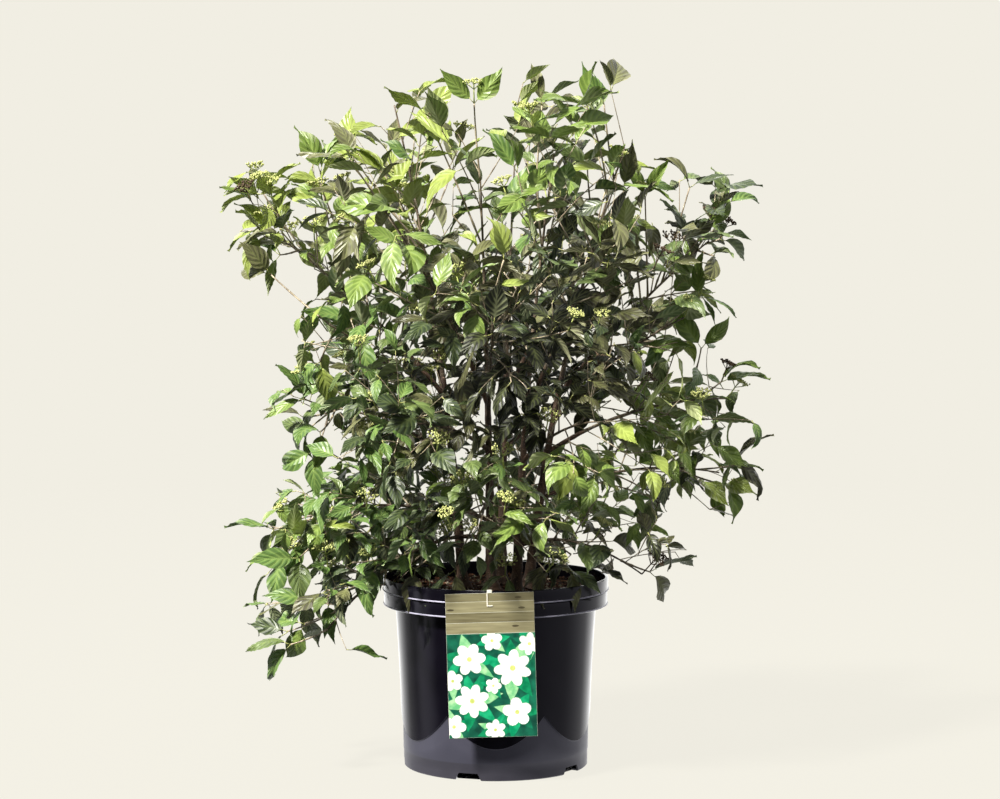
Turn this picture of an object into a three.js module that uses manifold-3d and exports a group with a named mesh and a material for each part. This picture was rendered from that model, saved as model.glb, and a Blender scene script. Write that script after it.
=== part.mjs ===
// Potted viburnum: a bushy flowering shrub with several stems, in a black nursery pot with a plant label.
// Units are millimetres, +Z is up, and the origin is the centre of the pot's flat underside. -Y is the front.
//
// Five stems rise from the soil. Each stem, and each bough on a stem, follows one bent line from its foot
// towards the furthest shoot that it feeds. The first share of that line is bare wood, a solid of its own.
// The rest is the leader of a leaf mass: twigs grow from the leader by a seeded rule, and carry pairs of
// leaves and flower heads. A mass keeps to the space that is nearer to its own leader than to any other.

import * as THREE from "three";
import { mergeVertices } from "three/addons/utils/BufferGeometryUtils.js";
import Module from "manifold-3d";

const wasm = await Module();
wasm.setup();

// ---------------------------------------------------------------------------------- driving dimensions

const GAP = 0.3; // between neighbouring solids
const DEGREE = Math.PI / 180;
const GOLDEN_ANGLE = 137.5 * DEGREE;
const UP = new THREE.Vector3(0, 0, 1);
const STEEP = 0.9; // the rise of a unit vector that counts as upright

const POT = {
  height: 238,
  baseRadius: 115.5,
  bodyTopRadius: 126,
  rimRadius: 141.5,
  rimHeight: 35,
  bandHeight: 18,
  bandStep: 1.2,
  wall: 2.2,
  lip: 4,
  segments: 48,
};
const NOTCH = { count: 5, width: 34, topWidth: 24, height: 9, depth: 11, outside: 5, firstAngle: 253 };
const SOIL = { top: 222, edgeDrop: 2, edgeWidth: 3, segments: 24 };
const LABEL = { width: 107, height: 176, thickness: 0.8, lean: 1.7, centreX: -7.5, topZ: 236 };
const TONGUE = { width: 6, thickness: 0.8, drop: 10, inside: 1.2 }; // inside: clear of the faceted lip

// The bare wood of a limb: share is how much of the limb's line it takes.
const STEM = {
  share: 0.4,
  footRadius: 6.6,
  endRadius: 3.1,
  flare: 4.5, // how much wider the root flare is, dying away over flareShare of the bare wood
  flareShare: 0.03,
  bendAcross: 0.28, // the place of the bend between foot and tip
  bendUp: 0.58,
  sides: 6,
  steps: 6,
};
const BOUGH = {
  share: 0.22,
  footRadius: 3.3,
  endRadius: 2.4,
  clear: 0.36, // from the flats of its stem
  bendAt: 0.45,
  sides: 4,
  steps: 3,
};

// A leaf mass. A pair of leaves grows at a share of its twig, spread by an angle from it. hang is how much
// the leaves droop.
const LEADER = {
  tipRadius: 1.7,
  sides: 4,
  steps: 3,
  inset: 64, // from the leader's end to the furthest leaf tip
  hang: 0.25,
  pairs: [
    { at: 0.93, spread: 55 },
    { at: 0.99, spread: 28 },
  ],
};
const TWIG = {
  count: 5,
  from: 0.06, // the shares of the leader that carry twigs
  to: 0.84,
  sides: 3,
  ofLeader: 0.58, // its foot radius as a share of the leader's
  taper: 0.8,
  reach: 112,
  shortest: 0.75, // the range of its first length, as shares of the reach
  longest: 1.1,
  least: 34,
  shorten: 0.88, // from one try to the next
  tested: [0.4, 0.6, 0.8, 1], // the shares of its line that lie in the mass's own space
  beyond: 0.3, // and as far past its tip, as a share of a leaf
  outward: 0.9, // the three parts of its direction
  along: 0.6,
  rise: 0.12,
  hang: 0.95,
  pairs: [
    { at: 0.36, spread: 62 },
    { at: 0.96, spread: 48 },
    { at: 0.66, spread: 55, least: 80 }, // only on a twig of that length
  ],
};
const LEAF = {
  length: 96, // of the longest blade, and what follows are shares of the length
  width: 0.6,
  widest: 0.42,
  thickest: 0.22,
  halfThickness: 0.014,
  fold: 0.07,
  droop: 0.1,
  clearance: 0.012,
  rootZone: 0.12, // the stretch at its base where it may meet other wood and leaves
  least: 0.8, // the smallest blade as a share of the longest
  roll: 0.5, // the most that a blade turns about its midrib, in radians
  tries: 5,
  stray: new THREE.Vector3(0.4, 0.4, 0.28), // how much further a blade turns aside at each try
  shrink: 0.07, // how much shorter it is at each try
};
const HEAD = {
  radius: 15,
  height: 20,
  sides: 5,
  twig: 1, // the number of the twig that carries it
  at: 0.97, // the share of that twig where it starts
  lift: 0.6, // how far it turns from the twig's line to upright
};
const SPACE_MARGIN = 2; // kept clear on each side of the border between two masses
const LEAST_FEATURE = 0.25; // smaller facets are merged in a mass
const LEAST_EDGE = 0.0006; // corners stay this far apart, so that rounding never merges two of them

// How far the crown reaches from the middle of the pot at each height.
const CROWN = [
  { height: 125, left: 305, right: 40, depth: 60 },
  { height: 205, left: 342, right: 225, depth: 235 },
  { height: 300, left: 326, right: 306, depth: 290 },
  { height: 375, left: 272, right: 362, depth: 295 },
  { height: 480, left: 292, right: 362, depth: 305 },
  { height: 535, left: 272, right: 298, depth: 305 },
  { height: 620, left: 316, right: 318, depth: 305 },
  { height: 722, left: 374, right: 362, depth: 300 },
  { height: 795, left: 292, right: 280, depth: 262 },
  { height: 840, left: 170, right: 215, depth: 200 },
  { height: 880, left: 70, right: 200, depth: 130 },
];
// No leaf hangs before the pot's front, where the label is.
const LABEL_VIEW = { halfWidth: 130, front: -95, low: 243 };

// Where the stems stand on the soil and where their furthest shoots reach. Azimuth 0 is +X and 90 is +Y.
const SEEDS = { stem: 11, bough: 21 }; // of the first stem and the first bough
const STEMS = [
  { name: "mid", footAzimuth: 250, footReach: 16, azimuth: 248, reach: 66, height: 892 },
  { name: "left", footAzimuth: 168, footReach: 42, azimuth: 174, reach: 136, height: 890 },
  { name: "right", footAzimuth: 8, footReach: 42, azimuth: 0, reach: 196, height: 892 },
  { name: "back", footAzimuth: 80, footReach: 40, azimuth: 76, reach: 126, height: 892 },
  { name: "front", footAzimuth: 305, footReach: 44, azimuth: 302, reach: 150, height: 850 },
];

// Boughs leave a stem at a share of its line. rise lifts the middle of the line, as a share of its length.
const BOUGHS = [
  { name: "upper_left", stem: "left", at: 0.36, azimuth: 181, reach: 356, height: 735, rise: 0.1 },
  { name: "upper_front_left", stem: "mid", at: 0.35, azimuth: 234, reach: 262, height: 745, rise: 0.1 },
  { name: "upper_front_right", stem: "front", at: 0.35, azimuth: 308, reach: 272, height: 735, rise: 0.1 },
  { name: "upper_right", stem: "right", at: 0.36, azimuth: 2, reach: 345, height: 730, rise: 0.08 },
  { name: "upper_back_right", stem: "back", at: 0.35, azimuth: 52, reach: 285, height: 735, rise: 0.1 },
  { name: "upper_back_left", stem: "left", at: 0.33, azimuth: 124, reach: 265, height: 765, rise: 0.1 },
  { name: "shoulder_left", stem: "left", at: 0.3, azimuth: 207, reach: 306, height: 612, rise: 0.12 },
  { name: "shoulder_front", stem: "mid", at: 0.31, azimuth: 270, reach: 288, height: 600, rise: 0.14 },
  { name: "shoulder_right", stem: "right", at: 0.31, azimuth: 334, reach: 302, height: 604, rise: 0.12 },
  { name: "shoulder_back", stem: "back", at: 0.3, azimuth: 84, reach: 288, height: 600, rise: 0.14 },
  { name: "mid_left", stem: "left", at: 0.24, azimuth: 178, reach: 290, height: 478, rise: 0.14 },
  { name: "mid_front_left", stem: "mid", at: 0.26, azimuth: 236, reach: 292, height: 455, rise: 0.14 },
  { name: "mid_front_right", stem: "front", at: 0.26, azimuth: 302, reach: 292, height: 470, rise: 0.14 },
  { name: "mid_right", stem: "right", at: 0.25, azimuth: 354, reach: 350, height: 482, rise: 0.16 },
  { name: "mid_back_right", stem: "back", at: 0.25, azimuth: 44, reach: 304, height: 490, rise: 0.14 },
  { name: "mid_back_left", stem: "left", at: 0.2, azimuth: 132, reach: 298, height: 480, rise: 0.14 },
  { name: "low_left", stem: "left", at: 0.13, azimuth: 188, reach: 318, height: 310, rise: 0.16 },
  { name: "weeping_left", stem: "mid", at: 0.09, azimuth: 203, reach: 302, height: 130, rise: 0.34 },
  { name: "low_front", stem: "mid", at: 0.16, azimuth: 264, reach: 235, height: 300, rise: 0.2 },
  { name: "low_right", stem: "right", at: 0.16, azimuth: 4, reach: 346, height: 375, rise: 0.18 },
  { name: "weeping_right", stem: "front", at: 0.09, azimuth: 336, reach: 262, height: 240, rise: 0.26 },
  { name: "low_back", stem: "back", at: 0.16, azimuth: 66, reach: 268, height: 300, rise: 0.2 },
  { name: "low_back_left", stem: "back", at: 0.1, azimuth: 138, reach: 280, height: 292, rise: 0.22 },
];

// ----------------------------------------------------------------------------------------- small tools

// A Lehmer generator: the same seed always gives the same plant.
function seeded(seed) {
  const MULTIPLIER = 48271;
  const MODULUS = 2147483647;
  let state = (seed * 7919 + 101) % MODULUS;
  return () => {
    state = (state * MULTIPLIER) % MODULUS;
    return state / MODULUS;
  };
}

function polar(azimuth, reach, height) {
  return new THREE.Vector3(
    reach * Math.cos(azimuth * DEGREE),
    reach * Math.sin(azimuth * DEGREE),
    height,
  );
}

function mix(a, b, share) {
  return a + (b - a) * share;
}

function toManifold(geometry) {
  const bare = geometry.clone();
  bare.deleteAttribute("normal");
  bare.deleteAttribute("uv");
  const merged = mergeVertices(bare, 1e-4);
  return new wasm.Manifold(
    new wasm.Mesh({
      numProp: 3,
      vertProperties: new Float32Array(merged.attributes.position.array),
      triVerts: new Uint32Array(merged.index.array),
    }),
  );
}

function toGeometry(solid) {
  const { numProp, vertProperties, triVerts } = solid.getMesh();
  const positions = new Float32Array((vertProperties.length / numProp) * 3);
  for (let i = 0; i < positions.length / 3; i++)
    positions.set(vertProperties.subarray(i * numProp, i * numProp + 3), i * 3);
  const geometry = new THREE.BufferGeometry();
  geometry.setAttribute("position", new THREE.BufferAttribute(positions, 3));
  geometry.setIndex(new THREE.BufferAttribute(new Uint32Array(triVerts), 1));
  geometry.computeVertexNormals();
  return geometry;
}

// The largest single body of a solid, without loose scraps and sealed hollows.
function largestBody(solid) {
  return solid.decompose().reduce((best, body) => (body.volume() > best.volume() ? body : best));
}

// ------------------------------------------------------------------------------------- limbs as solids

// A direction that is well away from the given one.
function acrossReference(direction) {
  return Math.abs(direction.z) > STEEP ? new THREE.Vector3(1, 0, 0) : UP;
}

// A tube of the given radii along a curve: a cylinder whose rings are carried to their places on the curve.
function limbSolid(curve, from, to, sides, steps, radiusAt) {
  const geometry = new THREE.CylinderGeometry(1, 1, 1, sides, steps);
  const position = geometry.attributes.position;
  const chord = curve.getPoint(to).sub(curve.getPoint(from)).normalize();
  const reference = acrossReference(chord);
  for (let i = 0; i < position.count; i++) {
    const share = position.getY(i) + 0.5;
    const t = mix(from, to, share);
    const tangent = curve.getTangent(t);
    const side = new THREE.Vector3().crossVectors(tangent, reference).normalize();
    const rise = new THREE.Vector3().crossVectors(side, tangent);
    const radius = radiusAt(share);
    const point = curve
      .getPoint(t)
      .addScaledVector(side, position.getX(i) * radius)
      .addScaledVector(rise, position.getZ(i) * radius);
    position.setXYZ(i, point.x, point.y, point.z);
  }
  return toManifold(geometry);
}

function stemRadius(share, grow = 0) {
  const taper = mix(STEM.footRadius, STEM.endRadius, share);
  return taper + STEM.flare * Math.exp(-share / STEM.flareShare) + grow;
}

function boughRadius(share, grow = 0) {
  return mix(BOUGH.footRadius, BOUGH.endRadius, share) + grow;
}

// A leader ends short of its row's reach, which its last leaves fill.
function leaderTip(start, row) {
  const reach = polar(row.azimuth, row.reach, row.height);
  return reach.addScaledVector(reach.clone().sub(start).normalize(), -LEADER.inset);
}

// The share of a curve that a short distance takes at a place on it.
function shareOf(distance, curve, share) {
  const step = 0.001;
  return (distance * step) / curve.getPoint(share).distanceTo(curve.getPoint(share + step));
}

// The bent line of a stem: steep out of the soil, then bowing outward.
function stemCurve(row) {
  const foot = polar(row.footAzimuth, row.footReach, SOIL.top + GAP);
  const tip = leaderTip(foot, row);
  const bend = foot.clone().lerp(tip, STEM.bendAcross);
  bend.z = mix(foot.z, tip.z, STEM.bendUp);
  return new THREE.QuadraticBezierCurve3(foot, bend, tip);
}

// The bent line of a bough: out of the middle of its stem, over an arch, to its furthest shoot.
function boughCurve(row, stem) {
  const start = stem.curve.getPoint(row.at);
  const tip = leaderTip(start, row);
  const bend = start.clone().lerp(tip, BOUGH.bendAt);
  bend.z += row.rise * start.distanceTo(tip);
  return new THREE.QuadraticBezierCurve3(start, bend, tip);
}

function makeStem(row) {
  const curve = stemCurve(row);
  const grown = (grow) =>
    limbSolid(curve, 0, STEM.share, STEM.sides, STEM.steps, (share) => stemRadius(share, grow));
  // The foot is cut flat, level with the soil.
  const level = new THREE.BoxGeometry(2 * POT.rimRadius, 2 * POT.rimRadius, POT.rimHeight);
  level.translate(0, 0, SOIL.top + GAP - POT.rimHeight / 2);
  return {
    ...row,
    curve,
    share: STEM.share,
    endRadius: STEM.endRadius,
    node: `stem_${row.name}`,
    solid: grown(0).subtract(toManifold(level)),
    grown,
  };
}

function makeBough(row, stem) {
  const curve = boughCurve(row, stem);
  const grown = (grow) =>
    limbSolid(curve, 0, BOUGH.share, BOUGH.sides, BOUGH.steps, (share) => boughRadius(share, grow));
  return {
    ...row,
    curve,
    share: BOUGH.share,
    endRadius: BOUGH.endRadius,
    node: `bough_${row.name}`,
    solid: largestBody(grown(0).subtract(stem.grown(BOUGH.clear))),
    grown,
  };
}

// ------------------------------------------------------------------------------ the space of each mass

function insideCrown(point) {
  const high = CROWN.findIndex((row) => row.height > point.z);
  if (high < 1) return false;
  const [lower, upper] = [CROWN[high - 1], CROWN[high]];
  const share = (point.z - lower.height) / (upper.height - lower.height);
  const side = point.x < 0 ? "left" : "right";
  const across = point.x / mix(lower[side], upper[side], share);
  const depth = point.y / mix(lower.depth, upper.depth, share);
  return across * across + depth * depth < 1;
}

function beforeLabel(point) {
  const { halfWidth, front, low } = LABEL_VIEW;
  return Math.abs(point.x) < halfWidth && point.y < front && point.z < low;
}

function leaderPoints(limb) {
  const pieces = 6;
  const shares = Array.from({ length: pieces + 1 }, (_, i) => mix(limb.share, 1, i / pieces));
  return shares.map((share) => limb.curve.getPoint(share));
}

function distanceToLine(point, points) {
  const nearest = new THREE.Vector3();
  const piece = new THREE.Line3();
  let best = Infinity;
  for (let i = 1; i < points.length; i++) {
    piece.set(points[i - 1], points[i]).closestPointToPoint(point, true, nearest);
    best = Math.min(best, nearest.distanceTo(point));
  }
  return best;
}

// True if the point is in the crown, and nearer to the limb's own leader than to any other.
function inOwnSpace(point, limb, limbs) {
  if (!insideCrown(point) || beforeLabel(point)) return false;
  const own = distanceToLine(point, limb.leader) + 2 * SPACE_MARGIN;
  return limbs.every((other) => other === limb || distanceToLine(point, other.leader) > own);
}

// -------------------------------------------------------------------------------- twigs, leaves, heads

// One leaf of eight faces, one unit long: folded up along its midrib, widest below the middle, tip bent down.
function leafTemplate(growth = 0) {
  const geometry = new THREE.OctahedronGeometry(1, 0);
  const position = geometry.attributes.position;
  for (let i = 0; i < position.count; i++) {
    const [x, y, z] = [position.getX(i), position.getY(i), position.getZ(i)].map(Math.round);
    if (x) position.setXYZ(i, x * (LEAF.width / 2 + growth), LEAF.widest, LEAF.fold);
    else if (z) position.setXYZ(i, 0, LEAF.thickest, z * (LEAF.halfThickness + growth));
    else if (y > 0) position.setXYZ(i, 0, 1 + growth, -LEAF.droop);
    else position.setXYZ(i, 0, 0, 0);
  }
  return geometry;
}

const leafShape = leafTemplate();
const leafRoom = leafTemplate(LEAF.clearance);

function leafMatrix(base, direction, roll, length) {
  const along = direction.clone().normalize();
  const side = new THREE.Vector3().crossVectors(along, UP).normalize().applyAxisAngle(along, roll);
  const normal = new THREE.Vector3().crossVectors(side, along);
  return new THREE.Matrix4()
    .makeBasis(side, along, normal)
    .scale(new THREE.Vector3(length, length, length))
    .setPosition(base);
}

// True if no two corners of a solid lie too close together.
function cornersApart(solid) {
  const corners = cornersOf(toGeometry(solid));
  const apart = (a, b) => a.distanceToSquared(b) > LEAST_EDGE * LEAST_EDGE;
  return corners.every((corner, i) => corners.slice(0, i).every((other) => apart(corner, other)));
}

function placed(geometry, matrix) {
  return geometry.clone().applyMatrix4(matrix);
}

function cornersOf(geometry) {
  const position = geometry.attributes.position;
  const indices = Array.from({ length: position.count }, (_, i) => i);
  return indices.map((i) => new THREE.Vector3().fromBufferAttribute(position, i));
}

// A flower head: the rays of its buds spread from the end of the twig to a flat top, as an upturned cone.
function headSolid(tip, direction) {
  const upward = direction.clone().lerp(UP, HEAD.lift).normalize();
  const head = new THREE.ConeGeometry(HEAD.radius, HEAD.height, HEAD.sides);
  head.rotateX(180 * DEGREE).translate(0, HEAD.height / 2, 0);
  head.applyQuaternion(new THREE.Quaternion().setFromUnitVectors(new THREE.Vector3(0, 1, 0), upward));
  return toManifold(head.translate(tip.x, tip.y, tip.z));
}

// ----------------------------------------------------------------------------------------- a leaf mass

function growMass(limb, limbs, obstacles) {
  const random = seeded(limb.seed);
  const between = (low, high) => mix(low, high, random());
  const start = limb.share + shareOf(GAP, limb.curve, limb.share);
  const leaderRadius = (share) => mix(limb.endRadius, LEADER.tipRadius, share);
  const clear = (solid) => solid.intersect(obstacles).isEmpty();
  const free = (point) => inOwnSpace(point, limb, limbs);
  let mass = limbSolid(limb.curve, start, 1, LEADER.sides, LEADER.steps, leaderRadius);
  let leaves = 0;

  // Fuses a solid with the mass, or leaves the mass as it is and says false.
  function join(solid) {
    const joined = mass.add(solid);
    if (!clear(solid) || !cornersApart(joined)) return false;
    mass = joined;
    return true;
  }

  // True if a leaf cuts through the mass away from its own root.
  function crosses(leaf, base) {
    const shared = leaf.intersect(mass);
    if (shared.isEmpty()) return false;
    const { min, max } = shared.boundingBox();
    const reach = LEAF.length * LEAF.rootZone;
    return [min, max].some((corner) => new THREE.Vector3(...corner).distanceTo(base) > reach);
  }

  // One leaf from a point in the wood. A few other turns are tried before it is skipped.
  function addLeaf(base, direction, length) {
    for (let attempt = 0; attempt < LEAF.tries; attempt++) {
      const stray = new THREE.Vector3(between(-1, 1), between(-1, 1), between(-1, 1));
      const turned = direction.clone().addScaledVector(stray.multiply(LEAF.stray), attempt);
      const size = length * (1 - LEAF.shrink * attempt);
      const matrix = leafMatrix(base, turned, between(-LEAF.roll, LEAF.roll), size);
      const room = placed(leafRoom, matrix);
      if (!cornersOf(room).every((corner) => corner.equals(base) || free(corner))) continue;
      if (!clear(toManifold(room))) continue;
      const leaf = toManifold(placed(leafShape, matrix));
      if (crosses(leaf, base) || !join(leaf)) continue;
      leaves += 1;
      return;
    }
  }

  // Pairs of opposite leaves along a line, each pair turned by a quarter from the last.
  function addPairs(line, { pairs, hang }, firstTurn) {
    pairs.forEach(({ at, spread, least = 0 }, index) => {
      if (line.getLength() < least) return;
      const tangent = line.getTangent(at);
      const side = new THREE.Vector3()
        .crossVectors(tangent, UP)
        .normalize()
        .applyAxisAngle(tangent, firstTurn + index * 90 * DEGREE);
      for (const hand of [1, -1]) {
        const direction = tangent
          .clone()
          .multiplyScalar(Math.cos(spread * DEGREE))
          .addScaledVector(side, hand * Math.sin(spread * DEGREE));
        direction.z -= hang * between(0.4, 1);
        addLeaf(line.getPoint(at), direction, LEAF.length * between(LEAF.least, 1));
      }
    });
  }

  // A straight twig from the leader, shortened until it and a leaf's start stay in the mass's own space.
  function twigLine(root, direction) {
    const first = TWIG.reach * between(TWIG.shortest, TWIG.longest);
    for (let reach = first; reach > TWIG.least; reach *= TWIG.shorten) {
      const line = new THREE.LineCurve3(root, root.clone().addScaledVector(direction, reach));
      const beyond = 1 + (TWIG.beyond * LEAF.length) / reach;
      const tested = [...TWIG.tested, beyond].map((share) => line.getPoint(share));
      if (tested.every(free)) return line;
    }
    return null;
  }

  // Twigs leave the leader at even shares of it, each turned by the golden angle from the last.
  const firstTurn = between(0, 2 * Math.PI);
  for (let k = 0; k < TWIG.count; k++) {
    const share = mix(TWIG.from, TWIG.to, (k + between(0, 0.5)) / (TWIG.count - 0.5));
    const place = mix(start, 1, share);
    const tangent = limb.curve.getTangent(place);
    const direction = new THREE.Vector3()
      .crossVectors(tangent, acrossReference(tangent))
      .normalize()
      .applyAxisAngle(tangent, firstTurn + k * GOLDEN_ANGLE)
      .multiplyScalar(TWIG.outward)
      .addScaledVector(tangent, TWIG.along)
      .addScaledVector(UP, TWIG.rise)
      .normalize();
    const line = twigLine(limb.curve.getPoint(place), direction);
    if (!line) continue;
    const footRadius = TWIG.ofLeader * leaderRadius(share);
    const twigRadius = (along) => footRadius * mix(1, TWIG.taper, along);
    const twig = limbSolid(line, 0, 1, TWIG.sides, 1, twigRadius);
    if (!join(twig)) continue;
    addPairs(line, TWIG, between(0, Math.PI));
    if (k !== HEAD.twig) continue;
    const head = headSolid(line.getPoint(HEAD.at), direction);
    if (cornersOf(toGeometry(head)).every(free)) join(head);
  }
  addPairs(limb.curve, LEADER, firstTurn);
  const simple = mass.simplify(LEAST_FEATURE);
  return { solid: largestBody(cornersApart(simple) ? simple : mass), leaves };
}

// ------------------------------------------------------------------------------------ pot, soil, label

// The pot is one turned shape: a tapering body, a wider double-banded rim, and an open inside.
function potSolid() {
  const rimFoot = POT.height - POT.rimHeight;
  const bandTop = rimFoot + POT.bandHeight;
  const outline = [
    [0, 0],
    [POT.baseRadius, 0],
    [POT.bodyTopRadius, rimFoot],
    [POT.rimRadius - POT.bandStep, rimFoot + POT.bandStep],
    [POT.rimRadius - POT.bandStep, bandTop],
    [POT.rimRadius, bandTop + POT.bandStep],
    [POT.rimRadius, POT.height],
    [POT.rimRadius - POT.lip, POT.height],
    [POT.rimRadius - POT.lip, rimFoot + POT.wall],
    [POT.bodyTopRadius - POT.wall, rimFoot],
    [POT.baseRadius - POT.wall, POT.wall],
    [0, POT.wall],
  ].map(([r, z]) => new THREE.Vector2(r, z));
  // A lathe turns about Y, so the shape is stood up, and the profile runs from the foot outward.
  const turned = new THREE.LatheGeometry(outline, POT.segments).rotateX(90 * DEGREE);
  let solid = toManifold(turned);
  for (let i = 0; i < NOTCH.count; i++)
    solid = solid.subtract(notchSolid(NOTCH.firstAngle + (360 / NOTCH.count) * i));
  return solid;
}

// A drain notch: a short tapered slot through the foot of the wall.
function notchSolid(angle) {
  const shape = new THREE.Shape([
    new THREE.Vector2(-NOTCH.width / 2, -1),
    new THREE.Vector2(NOTCH.width / 2, -1),
    new THREE.Vector2(NOTCH.topWidth / 2, NOTCH.height),
    new THREE.Vector2(-NOTCH.topWidth / 2, NOTCH.height),
  ]);
  const slot = new THREE.ExtrudeGeometry(shape, { depth: NOTCH.depth + NOTCH.outside, bevelEnabled: false });
  slot.rotateX(90 * DEGREE); // the shape stands up, and its depth runs along -Y
  slot.translate(0, -(POT.baseRadius - NOTCH.depth), 0);
  slot.rotateZ((angle - 270) * DEGREE);
  return toManifold(slot);
}

// Potting soil: it fills the pot, clear of the wall, the floor and the drain notches.
function soilSolid() {
  const rimFoot = POT.height - POT.rimHeight;
  const clearOf = (radius) => radius - POT.wall - GAP;
  const outline = [
    [0, NOTCH.height + GAP],
    [clearOf(POT.baseRadius), NOTCH.height + GAP],
    [clearOf(POT.bodyTopRadius), rimFoot + GAP],
    [POT.rimRadius - POT.lip - GAP, rimFoot + POT.wall + GAP],
    [POT.rimRadius - POT.lip - GAP, SOIL.top - SOIL.edgeDrop],
    [POT.rimRadius - POT.lip - SOIL.edgeWidth, SOIL.top],
    [0, SOIL.top],
  ].map(([r, z]) => new THREE.Vector2(r, z));
  return toManifold(new THREE.LatheGeometry(outline, SOIL.segments).rotateX(90 * DEGREE));
}

// The label hangs in front of the pot from a tongue of the same card, folded over the rim.
function labelSolid() {
  const back = -POT.rimRadius - GAP;
  const card = new THREE.BoxGeometry(LABEL.width, LABEL.thickness, LABEL.height);
  card.translate(0, back - LABEL.thickness / 2, LABEL.topZ - LABEL.height / 2);
  const over = POT.height + GAP;
  const inner = -POT.rimRadius + POT.lip + TONGUE.inside;
  const { thickness } = TONGUE;
  const hook = new THREE.Shape([
    new THREE.Vector2(back - thickness, LABEL.topZ - TONGUE.drop),
    new THREE.Vector2(back, LABEL.topZ - TONGUE.drop),
    new THREE.Vector2(back, over),
    new THREE.Vector2(inner, over),
    new THREE.Vector2(inner, over - TONGUE.drop),
    new THREE.Vector2(inner + thickness, over - TONGUE.drop),
    new THREE.Vector2(inner + thickness, over + thickness),
    new THREE.Vector2(back - thickness, over + thickness),
  ]);
  const tongue = new THREE.ExtrudeGeometry(hook, { depth: TONGUE.width, bevelEnabled: false });
  tongue.rotateX(90 * DEGREE).rotateZ(90 * DEGREE); // the hook's outline stands in the YZ plane
  tongue.translate(-TONGUE.width / 2, 0, 0);
  const lean = (geometry) =>
    toManifold(
      geometry
        .translate(0, 0, -LABEL.topZ)
        .rotateY(-LABEL.lean * DEGREE)
        .translate(LABEL.centreX, 0, LABEL.topZ),
    );
  const leaning = lean(card);
  tongue.translate(LABEL.centreX, 0, 0);
  return leaning.add(toManifold(tongue));
}

// -------------------------------------------------------------------------------------------- assembly

const materials = {
  pot: new THREE.MeshStandardMaterial({ color: 0x17161c, roughness: 0.35, metalness: 0 }),
  soil: new THREE.MeshStandardMaterial({ color: 0x3a2a1f, roughness: 1, metalness: 0 }),
  label: new THREE.MeshStandardMaterial({ color: 0x8fb08a, roughness: 0.3, metalness: 0 }),
  bark: new THREE.MeshStandardMaterial({ color: 0x6b5241, roughness: 0.85, metalness: 0 }),
  foliage: new THREE.MeshStandardMaterial({ color: 0x4c7034, roughness: 0.55, metalness: 0 }),
};

const plant = new THREE.Group();

function addNode(name, solid, material) {
  const mesh = new THREE.Mesh(toGeometry(solid), material);
  mesh.name = name;
  plant.add(mesh);
}

const pot = potSolid();
const soil = soilSolid();
const label = labelSolid();
addNode("pot", pot, materials.pot);
addNode("soil", soil, materials.soil);
addNode("label", label, materials.label);

const stems = STEMS.map((row, index) => makeStem({ ...row, seed: SEEDS.stem + index }));
const stemNamed = new Map(stems.map((stem) => [stem.name, stem]));
const boughs = BOUGHS.map((row, index) =>
  makeBough({ ...row, seed: SEEDS.bough + index }, stemNamed.get(row.stem)),
);
const limbs = [...stems, ...boughs];
for (const limb of limbs) limb.leader = leaderPoints(limb);
for (const limb of limbs) addNode(limb.node, limb.solid, materials.bark);

const obstacles = limbs
  .map((limb) => limb.grown(2 * GAP))
  .reduce((all, solid) => all.add(solid), pot.add(soil).add(label));
let leafCount = 0;
for (const limb of limbs) {
  const { solid, leaves } = growMass(limb, limbs, obstacles);
  leafCount += leaves;
  addNode(`leaves_${limb.name}`, solid, materials.foliage);
}
plant.userData.leafCount = leafCount;

export default plant;
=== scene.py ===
"""The looks of a potted viburnum: a bushy flowering shrub in a black nursery pot with a plant label.

Sizes are in millimetres, as in the part's source, and become metres where a mesh is made. +Z is up and -Y
is the front. The stems and boughs follow the same bent lines as the solids. Each leaf mass grows again on its
leader by the same rule, carried on to finer twigs, leaves of life size and flower heads.
"""

import functools
import math

import bpy
import numpy as np
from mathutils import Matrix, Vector

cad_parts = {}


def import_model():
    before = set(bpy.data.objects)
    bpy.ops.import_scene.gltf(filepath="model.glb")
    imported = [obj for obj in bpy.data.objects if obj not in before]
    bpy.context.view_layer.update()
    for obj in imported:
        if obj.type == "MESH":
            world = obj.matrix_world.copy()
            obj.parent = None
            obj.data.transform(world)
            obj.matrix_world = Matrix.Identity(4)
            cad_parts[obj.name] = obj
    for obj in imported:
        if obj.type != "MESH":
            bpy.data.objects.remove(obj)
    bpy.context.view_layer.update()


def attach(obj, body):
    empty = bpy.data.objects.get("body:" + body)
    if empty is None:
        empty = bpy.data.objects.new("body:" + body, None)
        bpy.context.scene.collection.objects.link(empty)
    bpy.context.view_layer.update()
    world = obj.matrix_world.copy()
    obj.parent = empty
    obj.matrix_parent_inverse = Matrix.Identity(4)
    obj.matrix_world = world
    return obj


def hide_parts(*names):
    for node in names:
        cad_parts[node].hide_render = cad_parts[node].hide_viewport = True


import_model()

# ---------------------------------------------------------------------------------- driving dimensions

MM = 0.001
UP = np.array([0.0, 0.0, 1.0])
GOLDEN_ANGLE = math.radians(137.5)
STEEP = 0.9  # the rise of a unit vector that counts as upright
PIECE_LIMIT = 190000  # the most triangles in one piece of leaves

POT = dict(height=238, base=115.5, top=126, rim=141.5, rim_height=35, wall=2.2, lip=4, segments=288)
RIM_FOOT = POT["height"] - POT["rim_height"]
BAND = dict(height=18, step=1.2)  # the lower band of the rim, and how far it stands back from the upper one
# The plain foot below the scalloped panels, and how the panels sink in between their middles.
SKIRT = dict(low=40, high=79, count=6, taper=0.9, foot=21, lobe=0.7, lobe_low=41, lobe_span=160)
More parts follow.
